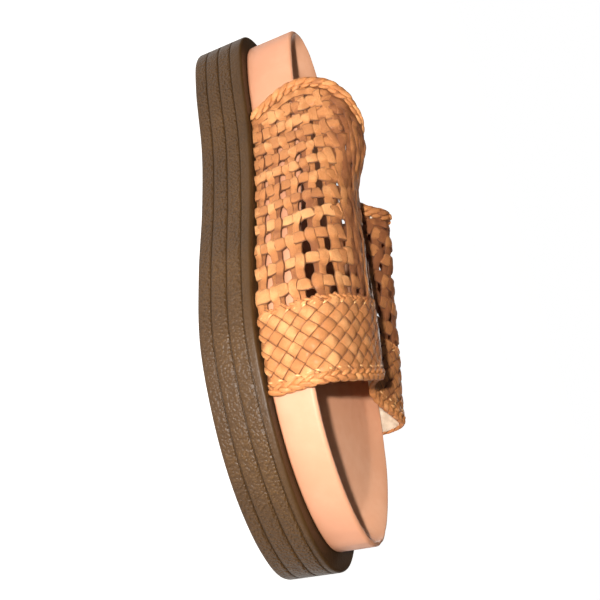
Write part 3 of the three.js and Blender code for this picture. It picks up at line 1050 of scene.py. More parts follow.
class GeometryTool:
    """A Geometry Nodes tree with named inputs that is run once on a piece."""

    def __init__(self, name: str, inputs: dict[str, tuple[str, object]]) -> None:
        """Starts the tree with its named inputs.

        Args:
            name: Name of the tree.
            inputs: Socket type and usual value by name.
        """
        self.tree = bpy.data.node_groups.new(name, "GeometryNodeTree")
        face = self.tree.interface
        face.new_socket("Geometry", in_out="INPUT", socket_type="NodeSocketGeometry")
        self.sockets = {}
        for title, (kind, usual) in inputs.items():
            socket = face.new_socket(title, in_out="INPUT", socket_type=kind)
            if usual is not None:
                socket.default_value = usual
            self.sockets[title] = socket
        face.new_socket("Geometry", in_out="OUTPUT", socket_type="NodeSocketGeometry")
        self.maker = TreeMaker(self.tree)
        self.given = self.maker.add("NodeGroupInput").outputs

    def end(self, geometry: bpy.types.NodeSocket) -> None:
        """Ends the tree in plain geometry with its material.

        Args:
            geometry: The geometry so far.
        """
        real = self.maker.add("GeometryNodeRealizeInstances", None, Geometry=geometry).outputs[0]
        material = self.given["Material"]
        dressed = self.maker.add("GeometryNodeSetMaterial", None, Geometry=real, Material=material)
        self.maker.feed(self.maker.add("NodeGroupOutput").inputs[0], dressed.outputs[0])

    def run(self, obj: bpy.types.Object, **values: object) -> None:
        """Runs the tree on an object and keeps the result as its plain mesh, shaded smooth.

        Args:
            obj: The object.
            values: Inputs by name, with _ for a space.
        """
        modifier = obj.modifiers.new(self.tree.name, "NODES")
        modifier.node_group = self.tree
        for title, value in values.items():
            modifier[self.sockets[title.replace("_", " ")].identifier] = value
        depsgraph = bpy.context.evaluated_depsgraph_get()
        mesh = bpy.data.meshes.new_from_object(
            obj.evaluated_get(depsgraph), preserve_all_data_layers=True, depsgraph=depsgraph
        )
        obj.modifiers.remove(modifier)
        obj.data = mesh
        mesh.name = obj.name
        mesh.shade_smooth()


def weave_relief_tool() -> GeometryTool:
    """Tree that lifts thongs over and under each other and crowns their middles.

    Returns:
        The tool.
    """
    tool = GeometryTool("weave_relief", {
        "Rise": ("NodeSocketFloat", 0.0006),
        "Crown": ("NodeSocketFloat", 0.0002),
        "Unevenness": ("NodeSocketFloat", 0.0001),
        "Seed": ("NodeSocketInt", 3),
        "Material": ("NodeSocketMaterial", None),
    })
    maker, given = tool.maker, tool.given
    edge = maker.named("edge")
    crown = maker.times(maker.math("SUBTRACT", 1.0, maker.times(edge, edge)), given["Crown"])
    wave = maker.times(maker.named("phase"), given["Rise"])
    position = maker.add("GeometryNodeInputPosition").outputs[0]
    seed = maker.times(given["Seed"], SEED_SPACING)
    flow = {"Vector": position, "W": seed, "Scale": UNEVEN_SCALE, "Detail": 2.0}
    noise = maker.add("ShaderNodeTexNoise", {"noise_dimensions": "4D"}, **flow).outputs[0]
    uneven = maker.times(maker.math("SUBTRACT", noise, 0.5), given["Unevenness"])
    offset = maker.scaled(maker.named("out", "FLOAT_VECTOR"), maker.plus(maker.plus(wave, crown), uneven))
    moved = maker.add("GeometryNodeSetPosition", None, Geometry=given["Geometry"], Offset=offset)
    tool.end(moved.outputs[0])
    return tool


def row_of_shapes_tool() -> GeometryTool:
    """Tree that sets one shape on every point, turned and sized as the point says.

    Returns:
        The tool.
    """
    tool = GeometryTool("row_of_shapes", {
        "Shape": ("NodeSocketObject", None),
        "Size": ("NodeSocketFloat", 1.0),
        "Variation": ("NodeSocketFloat", 0.1),
        "Turn Variation": ("NodeSocketFloat", 0.08),
        "Seed": ("NodeSocketInt", 5),
        "Material": ("NodeSocketMaterial", None),
    })
    maker, given = tool.maker, tool.given
    shape = maker.add("GeometryNodeObjectInfo", {"transform_space": "ORIGINAL"}, Object=given["Shape"])
    both_ways = {"i2": -1.0, "i3": 1.0}
    spread, swing = (
        maker.add("FunctionNodeRandomValue", {"data_type": "FLOAT"}, Seed=seed, **both_ways).outputs[1]
        for seed in (given["Seed"], maker.plus(given["Seed"], SECOND_DRAW))
    )
    scale = maker.times(maker.plus(1.0, maker.times(spread, given["Variation"])), given["Size"])
    scale = maker.scaled(maker.named("size", "FLOAT_VECTOR"), scale)
    turn = maker.add("FunctionNodeEulerToRotation", None, Euler=maker.named("turn", "FLOAT_VECTOR"))
    twist = maker.add("ShaderNodeCombineXYZ", None, Z=maker.times(swing, given["Turn Variation"]))
    twist = maker.add("FunctionNodeEulerToRotation", None, Euler=twist.outputs[0])
    turns = {"i0": turn.outputs[0], "i1": twist.outputs[0]}
    local = maker.add("FunctionNodeRotateRotation", {"rotation_space": "LOCAL"}, **turns)
    copies = maker.add(
        "GeometryNodeInstanceOnPoints", None, Points=given["Geometry"],
        Instance=shape.outputs["Geometry"], Rotation=local.outputs[0], Scale=scale,
    )
    tool.end(copies.outputs[0])
    return tool


def fill_across(
    verts: Array, faces: list, ring: Array, steps: int, down: bool, height: Callable | None = None
) -> tuple[Array, list]:
    """Fills a ring with rows of faces that run across the sole.

    Args:
        verts: Points so far.
        faces: Faces so far.
        ring: Point numbers of the ring.
        steps: Faces in a row.
        down: Whether the faces look down.
        height: Height added by a pattern at x, y and the distance to the ring, if any.

    Returns:
        The points and faces with the filling.
    """
    n = len(ring)
    half = n // 2
    rows = [[ring[0]] * (steps + 1)]
    new = []
    count = len(verts)
    for i in range(1, half):
        a, b = verts[ring[i]], verts[ring[n - i]]
        row = [ring[i]]
        for s in range(1, steps):
            p = a + (b - a) * s / steps
            if height is not None:
                room = min(s, steps - s) / steps * np.linalg.norm(b - a)
                room = min(room, i * ROW_SPACING, (half - i) * ROW_SPACING)
                p = p + np.array([0, 0, height(p[0], p[1], room)])
            row.append(count + len(new))
            new.append(p)
        row.append(ring[n - i])
        rows.append(row)
    rows.append([ring[half]] * (steps + 1))
    for upper, lower in zip(rows[:-1], rows[1:]):
        for s in range(steps):
            corners = list(dict.fromkeys([upper[s], lower[s], lower[s + 1], upper[s + 1]]))
            if len(corners) > 2:
                faces.append(corners[::-1] if down else corners)
    return np.vstack([verts, np.array(new)]), faces


@dataclass
class Outsole:
    """Thick rubber sole: pebbled grooved side, smooth rim band, bevelled edge and ribbed tread."""

    sole: SoleShape
    finish: PebbledRubber = PebbledRubber("brown_rubber")
    grooves: tuple[tuple[float, float], ...] = ((0.25, 0.26), (0.5, 0.59), (0.75, 0.88))
    groove_half: float = 0.36
    groove_depth: float = 0.24
    tread_edge: float = 0.9
    rim_bevel: float = 1.3
    stations: int = 480
    turn_steps: int = 6
    groove_steps: int = 9
    groove_power: float = 0.8
    rim_drop: float = 0.4
    top_reach: float = 3
    tread_shade: float = 0.3
    tread_depth: float = 1.0
    tread_pitch: float = 8.0
    tread_swing: float = 2.2
    tread_swing_reach: float = 5.5
    tread_edges: tuple[float, float] = (0.35, 0.85)
    tread_margin: tuple[float, float] = (5.0, 7.0)
    cross_steps: int = 48

    def build(self, effects: SharedEffects) -> None:
        """Builds and dresses the sole.

        Args:
            effects: The shared shader groups.
        """
        points, out = self.sole.outline(self.stations)
        profile = self._profile()
        place, pebbled, groove = [], [], []
        for inset, share_low, share_high, shift, rough, dark in profile:
            flat = points - out * inset
            x = flat[:, 0]
            share = share_low + (share_high - share_low) * self.sole.along(x)
            z = self.sole.spring(x) + self.sole.outsole_height(x) * share + shift
            place.append(np.column_stack([flat, z]))
            pebbled.append(np.full(self.stations, rough))
            groove.append(np.full(self.stations, dark))
        ids = np.arange(self.stations * len(profile)).reshape(len(profile), self.stations)
        verts, faces = np.vstack(place), ring_faces(ids).tolist()
        verts, faces = fill_across(verts, faces, ids[0], self.cross_steps, True, self._tread_height)
        verts, faces = fill_across(verts, faces, ids[-1], self.cross_steps, False)
        obj = make_object("rubber_outsole", verts, faces)
        extra = len(verts) - ids.size
        add_values(obj, "pebbled", np.concatenate([*pebbled, np.full(extra, self.tread_shade)]))
        # The groove value is painted shade: full in the grooves, 0.2 at the tread's edge, 0.3 under the
        # footbed's ledge.
        add_values(obj, "groove", np.concatenate([*groove, np.zeros(extra)]))
        obj.data.materials.append(self.finish.build(effects))
        finish_piece(obj, Part.OUTSOLE)

    def _profile(self) -> list[tuple[float, float, float, float, float, float]]:
        """Rows of the side from the ground up.

        Returns:
            Inset, share of the height at the heel and at the toe, shift up, pebbling and painted groove
            shade.
        """
        rows = []
        turns = np.linspace(0, 1, self.turn_steps) * math.pi / 2
        for turn in turns:
            inset, lift = self.tread_edge * (1 - math.sin(turn)), self.tread_edge * (1 - math.cos(turn))
            rows.append((inset, 0, 0, lift, 0.5, 0.2))
        levels = [(0.0, 0.0), *self.grooves, (1.0, 1.0)]
        for (low_heel, low_toe), (heel, toe) in zip(levels[:-2], levels[1:-1]):
            for t in (0.25, 0.5, 0.75):
                rows.append((0, low_heel + (heel - low_heel) * t, low_toe + (toe - low_toe) * t, 0, 1, 0))
            for t in np.linspace(-1, 1, self.groove_steps):
                depth = self.groove_depth * max(1 - t * t, 0) ** self.groove_power
                share = depth / self.groove_depth
                rows.append((depth, heel, toe, t * self.groove_half, 1 - share, share))
        heel, toe = levels[-2]
        for t in (0.3, 0.6):
            rows.append((0, heel + (1 - heel) * t, toe + (1 - toe) * t, -self.rim_drop, 0.35, 0))
        for turn in turns:
            inset, drop = self.rim_bevel * (1 - math.cos(turn)), self.rim_bevel * (1 - math.sin(turn))
            rows.append((inset, 1, 1, -drop, 0.15, 0))
        rows.append((self.sole.ledge + self.top_reach, 1, 1, 0, 0.1, 0.3))
        return rows

    def _tread_height(self, x: float, y: float, room: float) -> float:
        """Height of the tread's grooves at a place of the bottom."""
        bent = x + self.tread_swing * math.sin(y / self.tread_swing_reach)
        groove = float(smoothstep(*self.tread_edges, math.cos(2 * math.pi * bent / self.tread_pitch)))
        return self.tread_depth * groove * float(smoothstep(*self.tread_margin, room))


@dataclass
class Footbed:
    """Leather-wrapped footbed with a tight rim, a broad dished top and fine pulls of leather at its ends."""

    sole: SoleShape
    finish: SmoothLeather = SmoothLeather("pale_leather")
    rim_round: float = 1.7
    bowl_edge: float = 12
    rise_start: float = 0.28
    far_rise: float = 0.86
    dish_heel: float = 9.5
    dish_toe: float = 12.5
    arch_rise: float = 3
    arch_x: float = -8
    arch_reach: float = 38
    arch_across: float = 30
    rise_power: float = 1.15
    wall_foot: float = 0.04
    # Painted shade: extra at the wall's foot, and how much of it fades over the rim.
    foot_painted_shade: float = 1.6
    rim_shade_fade: float = 0.5
    rim_steps: int = 8
    dish_insets: tuple[float, ...] = (0.3, 0.8, 1.5, 2.4, 3.6, 5.0, 6.6, 8.4)
    pull_reach: float = 4
    stations: int = 480
    foot_steps: int = 8
    cross_steps: int = 56
    pulls: tuple[tuple[float, float, float, float], ...] = (
        (124.5, -5, 0.42, 1.5),
        (121, -14, 0.38, 1.4),
        (126, 4, 0.4, 1.3),
        (116.5, -20, 0.3, 1.6),
        (125, 11, 0.36, 1.4),
        (120.5, 20, 0.3, 1.5),
        (111, -26, 0.2, 1.8),
        (-124, -6, 0.25, 1.6),
        (-125, 5, 0.25, 1.5),
        (-119, 14, 0.2, 1.7),
    )

    def build(self, effects: SharedEffects) -> None:
        """Builds and dresses the footbed.

        Args:
            effects: The shared shader groups.
        """
        points, out = self.sole.outline(self.stations)
        ledge = self.sole.ledge_at(points[:, 0])
        wall = points - out * ledge[:, None]
        pull = self._pull(wall)
        place, worn = [], []
        for inset, kind, amount, share in self._profile():
            flat = points - out * (ledge + inset + pull * share)[:, None]
            x = flat[:, 0]
            # Painted shade: full on the wall, stronger at its foot by the sole, fading over the rim, none in
            # the dish.
            if kind is Row.WALL:
                low, high = self.sole.outsole_top(x) + self.sole.gap, self.sole.rim(x) - self.rim_round
                z = low + (high - low) * amount
                wall_painted_shade = self.foot_painted_shade if amount < self.wall_foot else 1.0
            elif kind is Row.RIM:
                z = self.sole.rim(x) - self.rim_round * (1 - amount)
                wall_painted_shade = 1 - self.rim_shade_fade * amount
            else:
                z, wall_painted_shade = self._dish(flat, wall), 0.0
            place.append(np.column_stack([flat, z]))
            worn.append(np.full(self.stations, wall_painted_shade))
        ids = np.arange(self.stations * len(place)).reshape(len(place), self.stations)
        faces = ring_faces(ids).tolist()
        verts, faces = fill_across(np.vstack(place), faces, ids[0], self.foot_steps, True)
        before = len(verts)
        verts, faces = fill_across(verts, faces, ids[-1], self.cross_steps, False)
        verts[before:, 2] = self._dish(verts[before:, :2], wall)
        obj = make_object("leather_footbed", verts, faces)
        # The wall's painted shade is stored for the material.
        add_values(obj, "worn", np.concatenate([*worn, np.zeros(len(verts) - ids.size)]))
        obj.data.materials.append(self.finish.build(effects))
        finish_piece(obj, Part.FOOTBED)

    def _dish(self, flat: Array, wall: Array) -> Array:
        """Height of the dished top.

        Args:
            flat: x and y of the places.
            wall: The footbed's outline.

        Returns:
            The heights.
        """
        x, y = flat[:, 0], flat[:, 1]
        away = np.concatenate([
            np.sqrt(((part[:, None] - wall[None]) ** 2).sum(2).min(1)) for part in np.array_split(flat, 20)
        ])
        near, far = (np.interp(x, *self.sole.footbed_wall(side)) for side in (Side.LITTLE_TOE, Side.BIG_TOE))
        across = np.clip((y - near) / np.maximum(far - near, 1), 0, 1)
        rise = np.clip((across - self.rise_start) / (1 - self.rise_start), 0, 1)
        inside = np.clip((away - self.rim_round) / self.bowl_edge, 0, 1)
        bowl = (1 - (1 - inside) ** 2) * (1 - self.far_rise * rise**self.rise_power)
        depth = self.dish_heel + (self.dish_toe - self.dish_heel) * self.sole.along(x)
        arch = np.exp(-(((x - self.arch_x) / self.arch_reach) ** 2)) * np.clip(y / self.arch_across, 0, 1)
        return self.sole.rim(x) - (depth - self.arch_rise * arch) * bowl

    def _profile(self) -> list[tuple[float, Row, float, float]]:
        """Rows from the foot of the wall over the rim into the dish.

        Returns:
            Inset, kind of row, how far along that kind, and the share of the leather's pulls.
        """
        rows = [(0.5, Row.WALL, 0.0, 0.0), (0.12, Row.WALL, 0.02, 0.0), (0.0, Row.WALL, 0.06, 0.1)]
        rows += [(0.0, Row.WALL, t, 0.2) for t in (0.2, 0.4, 0.6, 0.8)]
        for t in np.linspace(0, 1, self.rim_steps):
            turn = t * math.pi / 2
            rows.append((self.rim_round * (1 - math.cos(turn)), Row.RIM, math.sin(turn), 0.3 + 0.7 * t))
        for inset in self.dish_insets:
            rows.append((self.rim_round + inset, Row.DISH, 0.0, max(1 - inset / self.pull_reach, 0)))
        return rows

    def _pull(self, wall: Array) -> Array:
        """How far small pulls draw the rim in, along the outline."""
        total = np.zeros(len(wall))
        for x, y, depth, reach in self.pulls:
            away = np.hypot(wall[:, 0] - x, wall[:, 1] - y)
            total += depth * np.exp(-(((away - away.min()) / reach) ** 2))
        return total


def steady_noise(seed: int, count: int) -> Array:
    """The same run of numbers from -1 to 1 each time.

    Args:
        seed: Which run.
        count: How many numbers.

    Returns:
        The numbers.
    """
    return np.random.default_rng(seed).uniform(-1, 1, count)


def own_tone(seed: int) -> float:
    """A thong's own shade, from 0 to 1."""
    return 0.5 + 0.5 * steady_noise(seed, 1)[0]


def wandering(seed: int, knots: int, share: Array) -> Array:
    """A wandering line between -1 and 1, the same each time.

    Args:
        seed: Which line.
        knots: How many turns it takes.
        share: Places along it, from 0 to 1.

    Returns:
        Its values there.
    """
    return np.interp(share, np.linspace(0, 1, knots), steady_noise(seed, knots))


@dataclass(frozen=True)
class Ramp:
    """A smooth rise of some amount from one place to another."""

    start: float
    end: float
    amount: float = 1.0

    def at(self, place: Array) -> Array:
        """The rise at some places."""
        return self.amount * smoothstep(self.start, self.end, place)


@dataclass(frozen=True)
class Hump:
    """A soft hump of some amount around one place."""

    middle: float
    reach: float
    amount: float

    def at(self, place: Array) -> Array:
        """The hump's height at some places."""
        return self.amount * np.exp(-(((place - self.middle) / self.reach) ** 2))


@dataclass(frozen=True)
class Wander:
    """Wandering lines of some amount, one for each thong."""

    seed: int
    knots: int
    amount: float = 1.0

    def at(self, number: int, share: Array) -> Array:
        """The line of one thong, at places from 0 to 1 along it."""
        return self.amount * wandering(self.seed + number, self.knots, share)


def product(ramps: tuple[Ramp, Ramp], place: Array) -> Array:
    """A rise that another ramp ends again."""
    return ramps[0].at(place) * ramps[1].at(place)


@dataclass
class WovenUpper:
    """Open weave of leather thongs, with a dense band on the bias along its front."""

    shape: UpperShape
    finish: ThongLeather = ThongLeather("woven_tan_leather")
    columns: tuple[float, ...] = (
        2.6, 9.8, 18.4, 27.2, 35.6, 42.6, 47.8, 52.6, 57.4, 62.4, 67.8,
        74, 81, 88.4, 96, 103.8, 111.8, 119.8, 127.6, 135.2, 141.8, 147.5,
    )
    backs: tuple[float, ...] = (6.4, 17.6, 28.8, 39.6, 49.8, 59.4, 68.4, 77, 85.2, 93.2, 101.2, 109.2)
    far_share: float = 0.93
    far_change: tuple[float, float] = (0.3, 0.7)
    collar_row: float = 7.5
    collar_row_half: float = 1.6
    collar_row_pitch: float = 6.5
    collar_row_swell: float = 0.25
    collar_row_lift: tuple[float, float] = (0.55, 0.4)
    collar_row_tone: float = 0.45
    collar_row_tilt: Wander = Wander(190, 60, 0.3)
    dive_depth: float = 0.75
    dive_reach: tuple[float, float] = (10.2, 8.6)
    cross_end: tuple[float, float] = (4, 0.4)
    cross_half: float = 2.4
    cross_swing: float = 0.4
    cross_drift: Wander = Wander(100, 28, 0.65)
    cross_uneven: Wander = Wander(140, 30, 0.42)
    cross_tilt: Wander = Wander(160, 40, 0.4)
    cross_tones: int = 180
    cross_calm: float = 0.85
    cross_under: float = 1.1
    cross_switch: tuple[float, float] = (-0.1, 0.75)
    cross_steps: int = 481
    pitch_wide: float = 8.7
    thong_half: float = 1.95
    thong_near: float = 1.05
    thong_far: float = 2.1
    thong_drift: Wander = Wander(220, 20)
    thong_loose: float = 0.42
    thong_looser: float = 0.6
    thong_uneven: Wander = Wander(260, 28, 0.24)
    thong_tilt: Wander = Wander(280, 36, 0.4)
    thong_tones: int = 300
    thong_calm: float = 0.75
    rope_lift: float = 0.6
    rope_own: float = 0.45
    rope_seed: int = 340
    rope_wave: Wander = Wander(360, 18, 0.4)
    rope_spread: float = 0.8
    room_power: float = 0.7
    narrow_between: float = 0.1
    narrow_bunched: float = 0.16
    thong_step: float = 0.6
    thong_least: int = 12
    thong_tuck: float = 1.5
    thong_rear: float = 2.4
    thong_swing: float = 0.3
    under_lift: tuple[float, float] = (1.45, 0.55)
    between_rows: tuple[float, float] = (0.15, 0.38)
    spread_rows: tuple[float, float] = (0.06, 0.42)
    swing_rows: tuple[float, float] = (0.2, 0.45)
    row_ends: tuple[float, float] = (-4.8, 8)
    bunch_start: float = 0.255
    bunch_width: float = 0.03
    bunch_toe: Ramp = Ramp(0, 28, 0.05)
    bunch_heel: Ramp = Ramp(-38, -62, 0.045)
    bunch_end: Ramp = Ramp(0.505, 0.46)
    # Painted shade from the crest across the far flank, and a little painted light beyond the dip.
    painted_crest_shade: tuple[Ramp, Ramp] = (Ramp(0.24, 0.33, -0.95), Ramp(0.95, 0.85))
    painted_light_past_dip: tuple[Ramp, Ramp] = (Ramp(0.42, 0.5, 0.1), Ramp(0.92, 0.8))
    full_heel: Ramp = Ramp(-34, -66, 0.26)
    full_near: Ramp = Ramp(0.13, 0.03, 0.22)
    full_far: Ramp = Ramp(0.87, 0.97, 0.2)
    full_slope: tuple[Ramp, Ramp] = (Ramp(0.5, 0.6, 0.18), Ramp(0.9, 0.78))
    full_crest: Hump = Hump(0.37, 0.07, 0.08)
    full_ropes: tuple[Ramp, Hump] = (Ramp(26, 6), Hump(0.268, 0.045, 0.85))
    lean: float = 0.1
    band: float = 33
    seam: float = 2.5
    binding: float = 5
    band_columns: int = 22
    band_rows: int = 8
    band_half: float = 2.3
    band_swing: float = 0.1
    band_seeds: tuple[int, int] = (400, 500)
    band_family_step: int = 80
    band_steps: int = 84
    band_tilt: Wander = Wander(600, 12, 0.12)
    # Usual tone, random spread, and the share of painted shading by place.
    band_tone: tuple[float, float, float] = (0.6, 0.28, 0.6)
    band_overlap: tuple[float, float] = (0.65, 0.7)
    band_margin: float = 0.06
    band_power: float = 0.6
    thickness: float = 0.9
    layer: float = 1.3
    rise: float = 0.62
    crown: float = 0.14
    unevenness: float = 0.9
    side_step: float = 0.0013
    shortest: int = 6

    def seam_x(self, around: Array | float) -> Array:
        """x of the seam between the open weave and the dense band."""
        return self.shape.edge(Column.FRONT, around) - self.band

    def row_backs(self, around: Array) -> Array:
        """Distances back from the seam to the cross strips, a little closer together on the far side.

        Args:
            around: Shares of the way around.

        Returns:
            One row of distances for each place.
        """
        share = 1 + (self.far_share - 1) * smoothstep(*self.far_change, np.atleast_1d(around))
        return share[:, None] * np.array(self.backs)[None]

    def bunched(self, x: Array, around: Array) -> Array:
        """How far the weave is drawn together into lengthwise folds from the crest to the dip."""
        start = self.bunch_start + self.bunch_toe.at(x) + self.bunch_heel.at(x)
        return smoothstep(start, start + self.bunch_width, around) * self.bunch_end.at(around)

    def _painted_shading(self, around: Array) -> Array:
        """Painted shade on the leather's tone from the crest over the dip and far flank, eased by a little
        painted light beyond the dip.
        """
        return product(self.painted_crest_shade, around) + product(self.painted_light_past_dip, around)

    def build(self, effects: SharedEffects) -> None:
        """Builds and dresses the woven pieces.

        Args:
            effects: The shared shader groups.
        """
        material = self.finish.build(effects)
        tool = weave_relief_tool()
        pieces = {"cross_strips": self._cross, "lengthwise_strips": self._lengthwise, "bias_band": self._band}
        for seed, (name, collect) in enumerate(pieces.items()):
            mesh = collect()
            obj = mesh.make(name)
            self._add_side(obj, mesh.ring)
            lifts = {"Rise": self.rise * MM, "Crown": self.crown * MM, "Unevenness": self.unevenness * MM}
            tool.run(obj, Seed=seed, Material=material, **lifts)
            finish_piece(obj, Part.UPPER)

    def _add_side(self, obj: bpy.types.Object, ring: int) -> None:
        """Stores each point's place across its thong, for the streaks."""
        add_values(obj, "side", np.arange(len(obj.data.vertices)) % ring * self.side_step)

    def _fullness(self, x: Array, around: Array) -> Array:
        """How much wider the thongs lie where the weave is drawn tight."""
        along, crest = self.full_ropes
        heel = self.full_heel.at(x) + along.at(x) * crest.at(around)
        base = self.full_near.at(around) + self.full_far.at(around)
        return 1 + heel + base + self.full_crest.at(around) + product(self.full_slope, around)

    def _spans(self, kept: Array) -> list[tuple[int, int]]:
        """Runs of true values, as start and end."""
        edges = np.flatnonzero(np.diff(np.concatenate([[0], kept.astype(int), [0]])))
        return [(a, b) for a, b in zip(edges[::2], edges[1::2]) if b - a > self.shortest]

    def _cross(self) -> StrandMesh:
        """Strips that run around the upper."""
        mesh = StrandMesh(self.shape, self.layer, self.thickness)
        around = np.linspace(0.002, 0.998, self.cross_steps)
        places = np.array(self.columns) / self.shape.around_length
        u = np.interp(around, places, np.arange(len(places)))
        backs = self.row_backs(around)
        for k in range(len(self.backs)):
            x = self.seam_x(around) - backs[:, k] + self.cross_drift.at(k, around)
            bunch = self.bunched(x, around)
            wave = np.sin(2 * math.pi * u) * (1 if k % 2 == 0 else -1)
            phase = 1 - 2 * smoothstep(*self.cross_switch, -wave)
            phase = phase * (1 - self.cross_calm * bunch) - self.cross_under * bunch
            width = self.cross_half * self._fullness(x, around) + self.cross_swing * wave
            width = width + self.cross_uneven.at(k, around)
            tilt = self.cross_tilt.at(k, around)
            phase = self._dive(x, around, phase)
            end, share = self.cross_end
            for a, b in self._spans(self.shape.collar_inset(x, around) > end + share * width):
                # Each strip's own tone plus painted shading by place.
                tone = own_tone(self.cross_tones + k) + self._painted_shading(around[a:b])
                mesh.add(x[a:b], around[a:b], width[a:b], phase[a:b], tone, tilt[a:b])
        self._collar_row(mesh, around)
        return mesh

    def _collar_row(self, mesh: StrandMesh, around: Array) -> None:
        """Adds the lumpy row that runs beside the collar."""
        x, around = self.shape.beside(Column.COLLAR, 0, self.collar_row, around)
        wave = np.sin(around * self.shape.around_length * 2 * math.pi / self.collar_row_pitch)
        middle, swing = self.collar_row_lift
        # The row's tone plus painted shading by place.
        tone = self.collar_row_tone + self._painted_shading(around)
        tilt = self.collar_row_tilt.at(0, around)
        width = self.collar_row_half + self.collar_row_swell * wave
        mesh.add(x, around, width, middle + swing * wave, tone, tilt)

    def _dive(self, x: Array, around: Array, phase: Array) -> Array:
        """Takes the thongs under the row beside the collar."""
        dive = smoothstep(*self.dive_reach, self.shape.collar_inset(x, around))
        return phase * (1 - dive) - self.dive_depth * dive

    def _lengthwise(self) -> StrandMesh:
        """Pairs of thongs that run from the dense band to the collar and take turns to pass over."""
        mesh = StrandMesh(self.shape, self.layer, self.thickness)
        last = len(self.columns) - 1
        for j, place in enumerate(self.columns):
            room = min(
                place - self.columns[j - 1] if j > 0 else place * 2,
                self.columns[j + 1] - place if j < last else (self.shape.around_length - place) * 2,
            ) / self.pitch_wide
            middle = place / self.shape.around_length
            for k, side in enumerate((-1, 1)):
                self._thong(mesh, middle, min(room, 1), side, 2 * j + k)
        return mesh

    def _thong(self, mesh: StrandMesh, middle: float, room: float, side: int, number: int) -> None:
        """One thong of a pair.

        Args:
            mesh: The mesh that it joins.
            middle: The pair's share of the way around.
            room: The pair's share of the usual width.
            side: -1 for the thong nearer the little-toe side, 1 for the other.
            number: Its number, for its own unevenness.
        """
        seam = float(self.seam_x(middle)[0])
        front = seam + self.thong_tuck
        rear = float(self.shape.edge(Column.COLLAR, middle)[0]) + self.thong_rear
        count = max(int((front - rear) / self.thong_step), self.thong_least)
        x = np.linspace(front, rear, count)
        back = seam - x
        first, beyond = self.row_ends
        rows = np.concatenate([[first], self.row_backs(middle)[0], [self.backs[-1] + beyond]])
        v = np.interp(back, rows, np.arange(len(rows)) - 1)
        over = -side * np.cos(math.pi * np.round(v)) > 0
        off_row = np.abs(v - np.round(v))
        between = smoothstep(*self.between_rows, off_row)
        bunch = self.bunched(x, np.full(count, middle))
        drop, lift = self.under_lift
        phase = np.where(over, 1 - drop * between, -1 + lift * between)
        phase = phase + self.thong_swing * side * np.sin(math.pi * v) * smoothstep(*self.swing_rows, off_row)
        share = np.linspace(0, 1, count)
        own = self.rope_own * steady_noise(self.rope_seed + number, 1)[0]
        rope = self.rope_lift + own + self.rope_wave.at(number, share)
        phase = phase * (1 - self.thong_calm * bunch) + bunch * rope
        spread = np.where(over, 1 - smoothstep(*self.spread_rows, off_row), 0) * (1 - bunch)
        away = self.thong_near + (self.thong_far - self.thong_near) * spread + self.rope_spread * bunch
        drift = self.thong_drift.at(number, share) * (self.thong_loose + self.thong_looser * bunch)
        around = np.clip(middle + (side * away * room + drift) / self.shape.around_length, 0.0, 1.0)
        narrow = 1 - self.narrow_between * between - self.narrow_bunched * bunch
        width = self.thong_half * self._fullness(x, around) * room**self.room_power * narrow
        width = width + self.thong_uneven.at(number, share)
        tilt = self.thong_tilt.at(number, share) + side * self.lean
        # Each thong's own tone plus painted shading by place.
        tone = own_tone(self.thong_tones + number) + self._painted_shading(around)
        mesh.add(x, around, width, self._dive(x, around, phase), tone, tilt)

    def _band(self) -> StrandMesh:
        """Thongs of the dense band, in two families on the bias."""
        mesh = StrandMesh(self.shape, self.layer, self.thickness)
        halves, rows = 2 * self.band_columns, self.band_rows
        depth = self.band - self.seam - self.binding
        for family in (1, -1):
            for c in range(-rows - 1, halves + rows + 2, 2):
                number = c + self.band_family_step * family
                before, after = self.band_overlap
                m = np.linspace(-before, rows + after, self.band_steps)
                n = m * family + c
                inside = (n > self.band_margin) & (n < halves - self.band_margin)
                for a, b in self._spans(inside):
                    around = n[a:b] / halves
                    edge = self.shape.edge(Column.FRONT, around)
                    x = edge - self.binding - depth * (1 - m[a:b] / rows)
                    wave = np.cos(math.pi * m[a:b]) * family
                    phase = np.sign(wave) * np.abs(wave) ** self.band_power
                    width = self.band_half + self.band_swing * phase
                    own_width, own_shade = (steady_noise(seed + number, 1)[0] for seed in self.band_seeds)
                    width = width + self.band_swing * own_width
                    tilt = self.band_tilt.at(number, np.linspace(0, 1, b - a))
                    # The third share is how much painted shading the band takes.
                    usual, own, painted_shading_share = self.band_tone
                    tone = usual + own * own_shade + painted_shading_share * self._painted_shading(around)
                    mesh.add(x, around, width, phase, tone, tilt)
        return mesh


@dataclass
class LiningStrip:
    """Thin strip of lining under a free edge of the upper."""

    name: str
    shape: UpperShape
    column: Column
    start: float
    width: float
    finish: PlainCloth
    low: float = -0.02
    high: float = 0.22
    steps: int = 200

    def build(self, effects: SharedEffects) -> None:
        """Builds and dresses the strip.

        Args:
            effects: The shared shader groups.
        """
        around = np.linspace(0.004, 0.996, self.steps)
        edge, inward = self.shape.edge(self.column, around), self.column.inward
        rows = [(self.start, self.high), (self.start, self.low)]
        inner = [(self.start + self.width * t, self.low) for t in (0.2, 0.4, 0.6, 0.8, 1.0)]
        rows += inner + [(s, self.high) for s, _ in inner[::-1]]
        place = []
        for reach, height in rows:
            point, out = self.shape.sample(edge + inward * reach, around, self.shape.points, self.shape.out)
            place.append(point + out * height)
        n, count = self.steps, len(rows)
        ids = np.arange(n * count).reshape(count, n)
        nxt = np.roll(ids, -1, 0)
        faces = np.stack([ids[:, :-1], nxt[:, :-1], nxt[:, 1:], ids[:, 1:]], -1).reshape(-1, 4).tolist()
        faces += [ids[:, 0][::-1].tolist(), ids[:, -1].tolist()]
        if inward > 0:
            faces = [face[::-1] for face in faces]
        obj = make_object(self.name, np.vstack(place), faces)
        obj.data.materials.append(self.finish.build(effects))
        finish_piece(obj, Part.UPPER)


